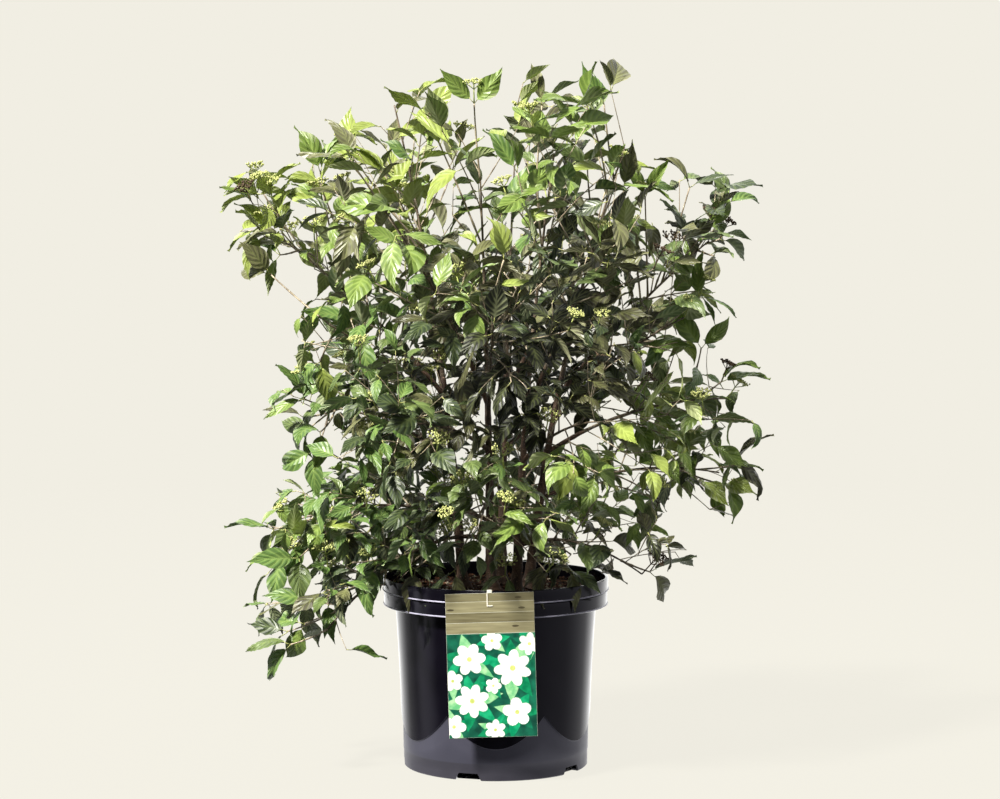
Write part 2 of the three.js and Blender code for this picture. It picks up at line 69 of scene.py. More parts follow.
# The bead finish is a painted highlight: pale lines on the rim's beads that stand in for light glinting
# there.
# The satin skirt and the foot are paler than the gloss, partly for their matt plastic and partly as a painted
# reflection of the bright floor.
GLOSS, SATIN_PAINTED_REFLECTION, DARK_FOOT_PAINTED_REFLECTION, BEAD_PAINTED_HIGHLIGHT = range(4)  # the finishes of the pot's faces, in the order of its materials
# The outline of each band of the rim at its foot and at its top: radius and height beside the band's own, and
# for the foot the finish.
BAND_FOOT = [(-1.5, 0.2, GLOSS), (-0.2, 0.3, GLOSS), (0.8, 1, BEAD_PAINTED_HIGHLIGHT), (0.8, 1.7, BEAD_PAINTED_HIGHLIGHT), (-0.1, 2.5, GLOSS)]
BAND_TOP = [(0, -2.4), (-0.3, -0.8), (-1.3, 0)]
NOTCH = dict(count=5, width=34, top=24, height=9, depth=11, first=253)
SOIL = dict(top=222, segments=120, rings=36, relief=3.2, settled=1.2, fall=2.5)
# The waves of the peat's top: how many, the first one's pace, and how much finer and weaker each next one is,
# then the gain on their sum.
PEAT_WAVES = dict(count=9, pace=0.05, finer=1.42, weaker=0.8, gain=1.6)
# The bits on the peat: their sizes and stretches, the shares of chips and of pale grit, and how they lie.
CRUMB = dict(count=1500, inset=7, least=1.0, most=3.4, lump=(1, 1, 0.7), chip=(2.4, 0.7, 0.35), chips=0.22,
             grit=0.12, tilt=0.5, lift=0.3)
LABEL = dict(width=107, height=176, thickness=0.8, lean=1.7, x=-7.5, top=236, header=49)
# The printed flowers on the label: x, z, reach and number of petals.
BLOOMS = [
    (27, 96, 20, 6), (79, 84, 23, 7), (29, 45, 21, 7), (83, 30, 18, 5), (55, 118, 13, 5),
    (6, 70, 13, 5), (100, 113, 14, 6), (56, 9, 13, 6), (6, 14, 15, 5), (55, 63, 10, 5),
]
# The height of the card's face above its back, and the edge that the print leaves free.
FACE, MARGIN = LABEL["thickness"], 0.2
HEAD_LOW = LABEL["height"] - LABEL["header"]
PICTURE = (MARGIN, MARGIN, LABEL["width"] - MARGIN, HEAD_LOW - MARGIN)
# The printed planks' edges as shares of the head's height, and X and such a share for each knot.
PLANKS = (0, 0.27, 0.52, 0.79, 1)
KNOTS = ((88, 0.88), (6, 0.6), (92, 0.62), (84, 0.17))
PRINTED_GREENS = [
    ((0, 128, 84), (30, 164, 112)), ((8, 78, 56), (22, 112, 82)),
    ((96, 176, 118), (168, 212, 160)), ((0, 104, 66), (20, 140, 92)),
]
TONGUE = dict(width=6, thickness=0.8, drop=10, inside=1.2)
GAP = 0.3

STEM = dict(share=0.4, foot=6.6, end=3.1, flare=4.5, flare_share=0.03, bend_across=0.28, bend_up=0.58,
            rings=90, crowding=1.3, sides=16)
BOUGH = dict(share=0.22, foot=3.3, end=2.4, bend_at=0.45, rings=26, crowding=1.0, sides=10)
# The bark's relief: ridges by their number round the limb, height and turn from ring to ring, swellings,
# joints, and the root spurs of a flared foot. Heights are shares of the radius, and distances are in rings.
BARK = dict(ridges=((3, 0.05, 0.11), (5, 0.035, -0.19)), swelling=0.03, swell_pace=0.9, joint=0.16,
            joints_apart=14, joint_width=1.5, spur=0.3, spurs=3, spur_length=2.5)
LEADER = dict(tip=0.95, inset=64, sink=0.015, taper=0.75, least=0.7, rings=26, sides=7, uneven=0.08)

# A twig grows from a leader, and a sprig from a twig. Pairs of leaves grow at even steps along both.
TWIG = dict(count=14, low=0.03, high=0.93, foot=0.54, reach=118, shortest=0.65, longest=1.2, least=36,
            shorten=0.88, outward=0.9, along=0.62, rise=0.26, arch=0.08, aside=0.12, step=33, taper=0.6,
            bare=0.45, last_pair=0.86, end_leaf=0.9, knot=0.28, rings=4, sides=5, arching=(-0.6, 1.4))
SPRIG = dict(reach=48, shortest=0.6, longest=1.2, least=20, shorten=0.8, spread=48, radius=0.65, chance=0.5,
             leaf=0.8, end_leaf=0.76, sides=4)
# A shoot reaches a place on the crown's outline. Its end leaves are up to the length of its leaf, and its
# leaves in pairs are a share of that.
SHOOT = dict(radius=1.45, step=38, bare=0.5, arch=0.06, sway=0.1, leaf=60, pair=0.85, least=0.78,
             narrow=0.6, wide=1.4, beyond=0.2, head=0.5)
LEAF = dict(length=67, least=0.6, stalk=0.15, spread=58, end_spread=34, end_back=0.02, end_turn=0.6,
            hang=0.48, most_hang=1.3, roll=0.8, tries=5, stray=0.52, shrink=0.06, apart=9.0, odd=0.25)
# The ranges of a leaf's width, fold along its midrib, bend, twist and rippled edge, as shares or radians.
BLADE = dict(width=0.54, widths=(0.7, 1.1), folds=(0.05, 0.5), bends=(0.2, 1.6), twists=(-0.8, 0.8),
             ripples=(-0.055, 0.055), tooth=0.004, pleat=0.0065, thickness=0.008)
STALK = dict(lift=0.02, sag=0.01, root=0.04, radii=(0.75, 0.6, 0.45))
HEAD = dict(radius=15, rays=7, forks=6, bud=1.2, stalk=17, flat=0.45, chance=0.22, more=0.3, lift=0.6,
            room=0.8, least=0.75, most=1.1)
# The rays of a flower head, as shares of its radius, and the scatter and sizes of its buds, as shares of a
# bud's.
RAY = dict(reach=0.62, middle=0.16, dome=0.12, fork=0.3, rise=0.22, uneven=(-0.1, 0.12), scatter=0.9,
           buds=(0.75, 1.15))
DRY = dict(right=180, share=0.5, elsewhere=0.08)  # the shares of the flower heads that have dried
OVERLAP = 14  # how far the sprays of two neighbouring masses reach into each other
RAGGED = 0.13  # how far the crown's surface dips between its shoots, as a share of its reach
# The airy top of the crown: the heights where it starts and is full, and how the growth changes there.
OPEN = dict(low=560, high=770, twigs=0.35, sprigs=0.75, hang=0.75, along=0.6, size=0.2, fold=0.35, bend=0.3)

# The gaps between clumps of leaves: their size, the waves that make them, the share of leaves left out there,
# and how much of that holds behind the crown's middle.
CLUMP = dict(size=24, low=0.2, high=1.4, winding=1.7, slower=0.6, share=0.6, back=30, behind=0.3)

# The hollow in the front of the crown that shows its dark inside.
HOLLOW = dict(middle=np.array([10.0, -240, 520]), size=np.array([105.0, 120, 90]), share=0.2)

SEEDS = dict(stem=11, bough=21, soil=71, label=81)

# How far the crown reaches from the middle of the pot: height, left, right and depth.
CROWN = np.array([
    (125, 305, 40, 60),
    (205, 342, 225, 235),
    (300, 326, 306, 290),
    (375, 272, 362, 295),
    (480, 292, 362, 305),
    (535, 272, 298, 305),
    (620, 316, 318, 305),
    (722, 374, 362, 300),
    (795, 292, 280, 262),
    (840, 170, 215, 200),
    (880, 70, 200, 130),
], float)
# The room before the label that leaves keep out of: it rises from the rim towards the front.
LABEL_VIEW = dict(half_width=130, front=-122, low=243, rise=0.55)
# What the sun has to reach of the label's head: the light's slope towards the front, in X and Z, and the half
# width and heights of the area.
LABEL_LIGHT = dict(across=1.05, rise=1.575, half_width=78, low=172, high=272)

# The gaps that show sky through the crown from the front: X, Z and radius.
SKY = np.array([
    (216, 820, 50), (-192, 858, 32), (-334, 786, 42), (-312, 546, 40), (-324, 466, 32), (-320, 374, 38),
    (368, 598, 50), (-272, 600, 20), (-8, 820, 19), (-324, 698, 19), (-124, 850, 18), (-258, 768, 18),
    (146, 792, 17), (200, 702, 17), (18, 838, 17), (318, 506, 17), (244, 708, 16), (-154, 820, 16),
    (250, 550, 16), (262, 300, 20), (306, 412, 15), (280, 744, 15), (264, 644, 15), (306, 692, 14),
    (86, 418, 15), (162, 194, 32), (-256, 638, 12), (234, 506, 12), (292, 572, 12), (204, 784, 30),
    (150, 286, 11), (84, 846, 11), (126, 732, 11), (-262, 500, 11), (150, 444, 15), (222, 306, 15),
    (-20, 736, 10), (-234, 374, 14), (16, 742, 10), (130, 704, 10), (-206, 520, 10), (-158, 180, 28),
    (-228, 822, 26), (24, 666, 10), (190, 600, 13), (-226, 424, 12), (265, 372, 12), (115, 414, 12),
    (-236, 600, 16), (-106, 872, 14), (222, 756, 18), (236, 330, 16), (74, 414, 12),
], float)

# name, azimuth and reach of the foot, then azimuth, reach and height of the furthest shoot
STEMS = [
    ("mid", 250, 16, 248, 66, 892),
    ("left", 168, 42, 174, 136, 890),
    ("right", 8, 42, 0, 196, 892),
    ("back", 80, 40, 76, 126, 892),
    ("front", 305, 44, 302, 150, 850),
]
# name, stem, the share of the stem's line where it leaves, azimuth, reach, height and rise
BOUGHS = [
    ("upper_left", "left", 0.36, 181, 356, 735, 0.1),
    ("upper_front_left", "mid", 0.35, 234, 262, 745, 0.1),
    ("upper_front_right", "front", 0.35, 308, 272, 735, 0.1),
    ("upper_right", "right", 0.36, 2, 345, 730, 0.08),
    ("upper_back_right", "back", 0.35, 52, 285, 735, 0.1),
    ("upper_back_left", "left", 0.33, 124, 265, 765, 0.1),
    ("shoulder_left", "left", 0.3, 207, 306, 612, 0.12),
    ("shoulder_front", "mid", 0.31, 270, 288, 600, 0.14),
    ("shoulder_right", "right", 0.31, 334, 302, 604, 0.12),
    ("shoulder_back", "back", 0.3, 84, 288, 600, 0.14),
    ("mid_left", "left", 0.24, 178, 290, 478, 0.14),
    ("mid_front_left", "mid", 0.26, 236, 292, 455, 0.14),
    ("mid_front_right", "front", 0.26, 302, 292, 470, 0.14),
    ("mid_right", "right", 0.25, 354, 350, 482, 0.16),
    ("mid_back_right", "back", 0.25, 44, 304, 490, 0.14),
    ("mid_back_left", "left", 0.2, 132, 298, 480, 0.14),
    ("low_left", "left", 0.13, 188, 318, 310, 0.16),
    ("weeping_left", "mid", 0.09, 203, 302, 130, 0.34),
    ("low_front", "mid", 0.16, 264, 235, 300, 0.2),
    ("low_right", "right", 0.16, 4, 346, 375, 0.18),
    ("weeping_right", "front", 0.09, 336, 262, 240, 0.26),
    ("low_back", "back", 0.16, 66, 268, 300, 0.2),
    ("low_back_left", "back", 0.1, 138, 280, 292, 0.22),
]

FADE = 1.6  # how sharply a round patch of the tables below ends
# Where leaves are fewer and twigs show, from the front: X, Z, radius and the share of leaves left out.
THIN = np.array([
    (162, 240, 68, 0.65), (196, 300, 60, 0.5), (99, 416, 60, 0.7), (166, 366, 66, 0.75),
    (-222, 414, 72, 0.95), (-213, 490, 44, 0.3), (224, 520, 72, 0.6), (300, 470, 56, 0.8),
    (190, 800, 50, 0.8), (-26, 838, 40, 0.3), (-145, 793, 38, 0.8), (99, 679, 48, 0.35),
    (224, 679, 56, 0.2), (-339, 741, 40, 0.4), (-150, 160, 40, 0.9), (-160, 430, 50, 0.5),
    (60, 620, 60, 0.2), (-236, 370, 40, 0.6), (-88, 458, 34, 0.5), (-235, 600, 52, 0.7),
    (287, 370, 46, 0.35), (20, 662, 34, 0.5), (60, 822, 24, 0.6), (190, 572, 40, 0.5),
    (196, 654, 28, 0.6), (250, 330, 46, 0.8), (264, 385, 40, 0.6), (265, 292, 42, 0.8),
    (150, 262, 44, 0.85), (112, 270, 44, 0.6), (300, 526, 30, 0.7), (286, 488, 44, 0.9),
    (-142, 318, 36, 0.5), (-190, 650, 40, 0.5), (306, 600, 40, 0.6), (-225, 816, 36, 0.8),
    (150, 200, 50, 0.95), (214, 238, 56, 0.95), (282, 436, 46, 0.8), (-74, 740, 44, 0.7),
    (-30, 708, 48, 0.5), (150, 734, 40, 0.3), (212, 686, 52, 0.9), (116, 708, 34, 0.9),
    (-5, 686, 26, 0.6), (130, 741, 28, 0.5), (120, 816, 28, 0.7), (14, 741, 28, 0.7), (262, 636, 30, 0.5),
    (262, 512, 30, 0.7), (5, 690, 34, 0.8), (-36, 806, 26, 0.6), (66, 786, 24, 0.6), (112, 806, 24, 0.7),
    (-234, 404, 44, 0.9), (-276, 222, 32, 0.8), (-290, 282, 32, 0.7), (-206, 494, 34, 0.7),
    (135, 262, 40, 0.8), (205, 262, 30, 0.7), (-235, 560, 50, 0.8), (205, 660, 30, 0.6),
], float)

# The shoots of each limb that make the crown's outline: the share of its leader where they leave, X, Y and Z
# of the end, and for some the angle that their end leaves spread.
SHOOTS = {
    "mid": [(0.45, -84, -40, 812, 34), (0.7, -26, -75, 826, 38)],
    "left": [(0.6, -100, -60, 752), (0.45, -178, -20, 752), (0.4, -182, 10, 766)],
    "front": [(0.55, 56, -110, 822, 14), (0.5, 26, -120, 742)],
    "right": [(0.7, 134, -20, 826, 30), (0.62, 112, -50, 822, 32), (0.5, 112, -70, 750)],
    "upper_left": [
        (0.4, -216, -30, 742), (0.3, -214, -70, 728), (0.5, -286, -30, 716, 50), (0.8, -282, -20, 672),
        (0.75, -284, -50, 664), (0.65, -262, -40, 668), (0.7, -270, 20, 640),
    ],
    "upper_front_left": [(0.55, -172, -150, 756)],
    "shoulder_left": [(0.8, -276, -60, 618), (0.75, -214, -80, 512)],
    "upper_right": [
        (0.4, 184, -40, 712), (0.5, 240, -20, 724), (0.7, 288, 10, 704), (0.75, 270, -30, 640),
        (0.8, 280, 10, 660), (0.6, 262, -10, 672), (0.45, 214, -40, 640), (0.55, 234, -20, 660),
        (0.35, 156, -60, 722),
    ],
    "shoulder_right": [(0.75, 248, -80, 590)],
    "mid_left": [
        (0.7, -238, -20, 462), (0.75, -240, 10, 436), (0.8, -216, -60, 424), (0.85, -226, -20, 396),
        (0.8, -232, 30, 424),
    ],
    "mid_right": [(0.8, 280, -30, 484, 20), (0.7, 254, -40, 526)],
    "low_right": [(0.55, 298, -30, 380, 46), (0.7, 286, -20, 354)],
    "weeping_right": [(0.8, 190, -70, 252), (0.1, 90, -84, 256, 20), (0.04, 66, -92, 256)],
    "low_left": [(0.7, -276, -30, 300), (0.8, -262, -60, 272), (0.55, -240, -90, 272)],
    "low_front": [(0.08, -50, -100, 258), (0.03, 12, -96, 252)],
    "weeping_left": [
        (0.06, -98, -84, 258), (0.24, -146, -104, 264), (0.3, -176, -90, 266), (0.75, -256, -70, 178),
        (0.9, -250, -110, 168), (0.6, -226, -90, 218), (0.7, -236, -60, 186), (0.5, -206, -110, 234),
    ],
    "upper_back_right": [(0.7, 160, 218, 742)],
    "upper_back_left": [(0.7, -140, 210, 770), (0.6, -56, 226, 752)],
    "shoulder_back": [(0.8, 46, 240, 634)],
    "mid_back_right": [(0.8, 195, 190, 540)],
    "mid_back_left": [(0.8, -180, 200, 500)],
    "low_back": [(0.8, 98, 225, 330)],
    "low_back_left": [(0.8, -190, 165, 262)],
    "shoulder_front": [(0.8, 10, -246, 640)],
}

# The leaf colours, top and underside, from the sunlit left to the shaded right and inside. Most paint light
# and
# shade into the leaves: lime and fresh for sunlight, deep and shade for shade down to near black.
TINTS = {
    "lime": ((146, 160, 78), (172, 182, 130)),
    "fresh": ((114, 138, 64), (150, 164, 112)),
    "lush": ((92, 122, 62), (128, 150, 108)),
    "green": ((90, 108, 60), (130, 142, 106)),
    "drab": ((102, 102, 70), (134, 132, 104)),
    "deep": ((48, 61, 38), (94, 106, 80)),
    "olive": ((66, 64, 43), (106, 104, 80)),
    "shade": ((26, 28, 19), (48, 52, 37)),
}
BRIGHT_TINTS = ("lime", "fresh", "lush")
VEINS = dict(top=(196, 214, 120), under=(206, 214, 160))
# The least painted sunlight that each tint needs; a spray with less gets the painted shade tint.
LIGHT_NEEDED = {"lime": 0.72, "fresh": 0.34, "green": -0.08, "deep": -1.15}
# How much painted sunlight a spray's tint gets: its side of the crown's middle, how far out it is, and
# chance.
SUNLIT = dict(middle=np.array([0, 0, 520.0]), reach=380, outside=0.7, surface=0.8, chance=0.34)
# The shares of the sprays that turn lush low on the left, drab above, and olive, as painted shade, on the
# right and inside, and where those places start.
TURNING = dict(left=-100, upper=610, right=60, inside=0.5, lush=0.7, drab=0.3, olive=0.5)
SUNWARD = np.array([-0.58, -0.2, 0.82])  # towards the side that the sun reaches first
FORWARD = np.array([0, -0.55, 0.8])  # where the leaves at the ends of the outline's shoots face
# Patches of painted light and shade on the sprays, from the front: X, Z, radius and how much lighter.
TONES = np.array([
    (-20, 622, 62, 0.6), (20, 520, 125, -1.7), (-65, 460, 90, -0.6), (130, 355, 90, 0.4),
    (-240, 360, 80, 0.35), (25, 797, 34, 0.5), (120, 570, 100, -0.25), (260, 560, 150, 0.6),
    (200, 460, 140, 0.3), (-110, 590, 80, 0.2), (-20, 300, 60, 0.2), (60, 812, 120, -0.25),
    (-70, 810, 70, -0.25), (-20, 390, 90, 0.45), (212, 360, 110, 0.45), (20, 290, 160, 0.65),
    (-250, 300, 90, 0.4), (230, 430, 130, 0.6), (-190, 740, 160, 0.15), (85, 450, 90, -0.6),
    (282, 340, 60, 0.8), (170, 300, 110, 0.5), (165, 735, 100, 0.45), (262, 320, 70, 0.4),
], float)


# ----------------------------------------------------------------------------------------- small tools

class Dice:
    """A Lehmer generator: the same seed always gives the same plant."""

    MULTIPLIER = 48271
    MODULUS = 2147483647

    def __init__(self, seed):
        self.state = (seed * 7919 + 101) % self.MODULUS

    def draw(self):
        self.state = self.state * self.MULTIPLIER % self.MODULUS
        return self.state / self.MODULUS

    def between(self, low, high):
        return mix(low, high, self.draw())


def mix(a, b, share):
    return a + (b - a) * share


def unit(vector):
    return vector / np.linalg.norm(vector, axis=-1, keepdims=True)


def polar(azimuth, reach, height):
    angle = math.radians(azimuth)
    return np.array([reach * math.cos(angle), reach * math.sin(angle), height])


def turned(vector, axis, angle):
    """The vector turned about a unit axis."""
    along = axis * np.dot(axis, vector)
    return along + (vector - along) * math.cos(angle) + np.cross(axis, vector) * math.sin(angle)


def across(direction):
    """A unit vector square to the direction."""
    reference = np.array([1.0, 0, 0]) if abs(direction[2]) > STEEP else UP
    return unit(np.cross(direction, reference))


class Line:
    """A bent line from a foot past a bend to a tip."""

    def __init__(self, foot, bend, tip):
        self.foot, self.bend, self.tip = foot, bend, tip

    def at(self, share):
        s = np.asarray(share, float)[..., None]
        return (1 - s) ** 2 * self.foot + 2 * s * (1 - s) * self.bend + s * s * self.tip

    def heading(self, share):
        return unit((1 - share) * (self.bend - self.foot) + share * (self.tip - self.bend))

    def length(self):
        points = self.at(np.linspace(0, 1, 9))
        return np.linalg.norm(np.diff(points, axis=0), axis=1).sum()


# ------------------------------------------------------------------------------------- meshes in bulk

class Soup:
    """Vertices and faces gathered for one mesh. A face group holds faces with equal numbers of corners."""

    def __init__(self):
        self.vertices, self.faces, self.slots, self.values = [], [], [], []
        self.count = 0

    def add(self, vertices, faces, slot=0, values=None):
        """faces is one face group or a list of them, and slot a material's number or a list of one for each
        group. values is a number for each vertex.
        """
        vertices = np.asarray(vertices, float).reshape(-1, 3)
        groups = faces if isinstance(faces, list) else [faces]
        slots = slot if isinstance(slot, list) else [slot] * len(groups)
        for group, number in zip(groups, slots):
            self.faces.append(np.asarray(group) + self.count)
            self.slots.append(np.full(len(group), number))
        self.vertices.append(vertices)
        self.values.append(np.zeros(len(vertices)) if values is None else values)
        self.count += len(vertices)

    def piece(self, name, materials, smooth=True, value_name=None):
        """The gathered mesh as an object in metres."""
        mesh = bpy.data.meshes.new(name)
        mesh.vertices.add(self.count)
        mesh.vertices.foreach_set("co", (np.concatenate(self.vertices) * MM).ravel())
        sizes = np.concatenate([np.full(len(group), group.shape[1]) for group in self.faces])
        corners = np.concatenate([group.ravel() for group in self.faces])
        mesh.loops.add(len(corners))
        mesh.loops.foreach_set("vertex_index", corners.astype(np.int32))
        mesh.polygons.add(len(sizes))
        mesh.polygons.foreach_set("loop_start", (np.cumsum(sizes) - sizes).astype(np.int32))
        mesh.polygons.foreach_set("material_index", np.concatenate(self.slots).astype(np.int32))
        mesh.polygons.foreach_set("use_smooth", np.full(len(sizes), smooth))
        for material in materials:
            mesh.materials.append(material)
        if value_name:
            attribute = mesh.attributes.new(value_name, "FLOAT", "POINT")
            attribute.data.foreach_set("value", np.concatenate(self.values).astype(np.float32))
        mesh.update(calc_edges=True)
        mesh.validate()
        made = bpy.data.objects.new(name, mesh)
        bpy.context.scene.collection.objects.link(made)
        return made


def ring_angles(sides):
    return 2 * np.pi * np.arange(sides) / sides


def level_ring(angles, reach, height):
    """The corners of a ring round the Z axis. Reach and height may differ from corner to corner."""
    heights = np.broadcast_to(height, angles.shape)
    return np.stack([reach * np.cos(angles), reach * np.sin(angles), heights], -1)


def ring_faces(rings, sides):
    """The quads between rings of vertices, each ring closed on itself."""
    ring, side = np.meshgrid(np.arange(rings - 1), np.arange(sides), indexing="ij")
    nearer, farther, following = ring * sides, (ring + 1) * sides, (side + 1) % sides
    quads = np.stack([nearer + side, nearer + following, farther + following, farther + side], -1)
    return quads.reshape(-1, 4)


def closed_faces(rings, sides):
    """The quads between rings of vertices, and the two ends that close them."""
    ends = np.array([np.arange(sides)[::-1], (rings - 1) * sides + np.arange(sides)])
    return [ring_faces(rings, sides), ends]


def tube(points, radii, sides):
    """The rings along a line of points, and their faces with both ends closed."""
    points = np.asarray(points, float)
    tangents = unit(np.gradient(points, axis=0))
    side = across(tangents[0])
    sides_out = []
    for tangent in tangents:
        side = unit(side - tangent * np.dot(side, tangent))
        sides_out.append(side)
    side = np.array(sides_out)
    rise = np.cross(tangents, side)
    angles = ring_angles(sides)
    radii = np.asarray(radii, float)
    if radii.ndim < 2:
        radii = np.repeat(radii.reshape(-1, 1), sides, axis=1)
    out = np.cos(angles)[None, :, None] * side[:, None] + np.sin(angles)[None, :, None] * rise[:, None]
    rings = points[:, None] + out * radii[..., None]
    return rings.reshape(-1, 3), closed_faces(len(points), sides)


def keep(piece, slot, *nodes):
    """Every piece rides on the plant's one body, and stands for the nodes that are named."""
    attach(piece, "root")
    if nodes:
        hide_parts(*nodes)


# -------------------------------------------------------------------------------------------- materials

def linear(colour):
    """A colour given as 0 to 255 on a screen, as the linear numbers that a shader takes."""
    shares = [value / 255 for value in colour]
    return tuple(s / 12.92 if s <= 0.04045 else ((s + 0.055) / 1.055) ** 2.4 for s in shares) + (1.0,)


def scaled(colour, share):
    """A linear colour made darker or lighter."""
    return tuple(min(1.0, value * share) for value in colour[:3]) + (1.0,)


class Finish:
    """One material and short ways to wire its nodes."""

    def __init__(self, name, **sockets):
        self.material = bpy.data.materials.new(name)
        self.material.use_nodes = True
        self.tree = self.material.node_tree
        self.shader = self.tree.nodes["Principled BSDF"]
        for socket, value in sockets.items():
            self.shader.inputs[socket.replace("_", " ")].default_value = value

    def node(self, kind, **values):
        made = self.tree.nodes.new(kind)
        for name, value in values.items():
            if name in made.inputs:
                made.inputs[name].default_value = value
            else:
                setattr(made, name, value)
        return made

    def feed(self, source, socket):
        """Gives a socket the output of another node, or a plain value."""
        if isinstance(source, bpy.types.NodeSocket):
            self.tree.links.new(source, socket)
        else:
            socket.default_value = source

    def noise(self, scale, detail=3.0, stretch=(1, 1, 1)):
        """A noise pattern over the piece, with a scale in features for each metre."""
        place = self.node("ShaderNodeTexCoord")
        sized = self.node("ShaderNodeMapping")
        sized.inputs["Scale"].default_value = stretch
        pattern = self.node("ShaderNodeTexNoise", Scale=scale, Detail=detail)
        self.feed(place.outputs["Object"], sized.inputs["Vector"])
        self.feed(sized.outputs["Vector"], pattern.inputs["Vector"])
        return pattern.outputs["Fac"]

    def ramp(self, value, low, high, least=0.0, most=1.0):
        """The value stretched so that low gives the least and high the most."""
        made = self.node("ShaderNodeMapRange")
        sources = {"From Min": low, "From Max": high, "To Min": least, "To Max": most, "Value": value}
        for name, source in sources.items():
            self.feed(source, made.inputs[name])
        return made.outputs["Result"]

    def worked(self, operation, first, second):
        """The result of a sum on two values."""
        made = self.node("ShaderNodeMath", operation=operation)
        self.feed(first, made.inputs[0])
        self.feed(second, made.inputs[1])
        return made.outputs[0]

    def blend(self, factor, first, second):
        """A colour between two, each a colour or the output of a node."""
        made = self.node("ShaderNodeMix", data_type="RGBA", blend_type="MIX")
        sockets = [s for s in made.inputs if s.enabled]
        for source, socket in zip((factor, first, second), sockets):
            self.feed(source, socket)
        return next(s for s in made.outputs if s.enabled)

    def colour(self, factor, first, second):
        """Blends the surface's colour from two."""
        self.feed(self.blend(factor, first, second), self.shader.inputs["Base Color"])

    def bump(self, height, distance, strength=1.0):
        made = self.node("ShaderNodeBump", Strength=strength, Distance=distance * MM)
        self.feed(height, made.inputs["Height"])
        self.feed(made.outputs["Normal"], self.shader.inputs["Normal"])

    def share_with(self, other, factor):
        """Mixes a share of another shader into the surface."""
        both = self.node("ShaderNodeMixShader")
        self.feed(factor, both.inputs["Fac"])
        self.feed(self.shader.outputs["BSDF"], both.inputs[1])
        self.feed(other.outputs["BSDF"], both.inputs[2])
        self.feed(both.outputs["Shader"], self.tree.nodes["Material Output"].inputs["Surface"])


def leaf_finish(name, colour, vein_colour, vein_share, gloss, through):
    """A leaf's surface: its colour, paler along its veins, and the light that comes through it."""
    finish = Finish(name, Roughness=gloss)
    finish.shader.inputs["Specular IOR Level"].default_value = 0.5
    vein = finish.node("ShaderNodeAttribute", attribute_name="vein").outputs["Fac"]
    faint = finish.worked("MULTIPLY", finish.worked("POWER", vein, 3.0), vein_share)
    base = linear(colour)
    patched = finish.blend(finish.ramp(finish.noise(60, 2), 0.35, 0.65), scaled(base, 0.72), base)
    finish.colour(faint, patched, linear(vein_colour))
    glow = finish.node("ShaderNodeBsdfTranslucent", Color=scaled(base, 1.6))
    finish.share_with(glow, through)
    return finish.material


def bark_finish(name, dark, light, gloss):
    """Thin bark: streaks along the wood, and small pale pores."""
    finish = Finish(name, Roughness=gloss)
    streaks = finish.ramp(finish.noise(160, 4, (1, 1, 0.25)), 0.35, 0.68)
    pores = finish.ramp(finish.noise(620, 2), 0.62, 0.72)
    wood = finish.blend(streaks, linear(dark), linear(light))
    pale = tuple(min(255, value + 55) for value in light)
    finish.colour(pores, wood, linear(pale))
    finish.bump(finish.noise(500, 4, (1, 1, 0.3)), 0.5, 0.6)
    return finish.material


def plain_finish(name, dark, light, scale, gloss, bump=0.0):
    """A surface whose colour varies between two tones, with a fine grain."""
    finish = Finish(name, Roughness=gloss)
    tone = finish.ramp(finish.noise(scale, 4), 0.35, 0.65)
    finish.colour(tone, linear(dark), linear(light))
    if bump:
        finish.bump(finish.noise(scale * 2.5, 4), bump)
    return finish.material


def pot_finish(name, dark, light, gloss, specular):
    """Smooth moulded plastic with faint flow marks, and a film of dust that varies its gloss."""
    finish = Finish(name)
    finish.shader.inputs["Specular IOR Level"].default_value = specular
    finish.shader.inputs["Specular Tint"].default_value = (0.84, 0.82, 1.0, 1.0)
    flow = finish.noise(26, 5, (1, 1, 0.35))
    finish.colour(flow, linear(dark), linear(light))
    dusty = finish.ramp(finish.noise(40, 5), 0.2, 0.8, gloss, gloss + 0.12)
    finish.feed(dusty, finish.shader.inputs["Roughness"])
    finish.bump(finish.noise(900, 2), 0.02, 0.3)
    return finish.material


def plank_finish(name, dark, light):
    """Printed planks: long streaks of grain along X."""
    finish = Finish(name, Roughness=0.35)
    grain = finish.ramp(finish.noise(260, 4, (0.08, 1, 1)), 0.3, 0.7)
    finish.colour(grain, linear(dark), linear(light))
    return finish.material


# --------------------------------------------------------------------------------- the limbs' lines

class Limb:
    """A stem or bough. The first share of its line is bare, and the rest is the leader of its leaf mass."""

    def __init__(self, name, kind, seed, line, shape):
        self.name, self.seed, self.line = name, seed, line
        self.node = f"{kind}_{name}"
        self.shape, self.share, self.end = shape, shape["share"], shape["end"]
        self.leader = line.at(np.linspace(self.share, 1, 7))


def leader_tip(start, azimuth, reach, height):
    """A leader ends short of its reach, which its last leaves fill."""
    furthest = polar(azimuth, reach, height)
    return furthest - unit(furthest - start) * LEADER["inset"]


def make_stem(index, row):
    name, foot_azimuth, foot_reach, azimuth, reach, height = row
    foot = polar(foot_azimuth, foot_reach, SOIL["top"] + GAP)
    tip = leader_tip(foot, azimuth, reach, height)
    bend = mix(foot, tip, STEM["bend_across"])
    bend[2] = mix(foot[2], tip[2], STEM["bend_up"])
    return Limb(name, "stem", SEEDS["stem"] + index, Line(foot, bend, tip), STEM)


def make_bough(index, row, stem_named):
    name, stem, at, azimuth, reach, height, rise = row
    start = stem_named[stem].line.at(at)
    tip = leader_tip(start, azimuth, reach, height)
    bend = mix(start, tip, BOUGH["bend_at"])
    bend[2] += rise * np.linalg.norm(tip - start)
    return Limb(name, "bough", SEEDS["bough"] + index, Line(start, bend, tip), BOUGH)


# ------------------------------------------------------------------------------ the space of each mass

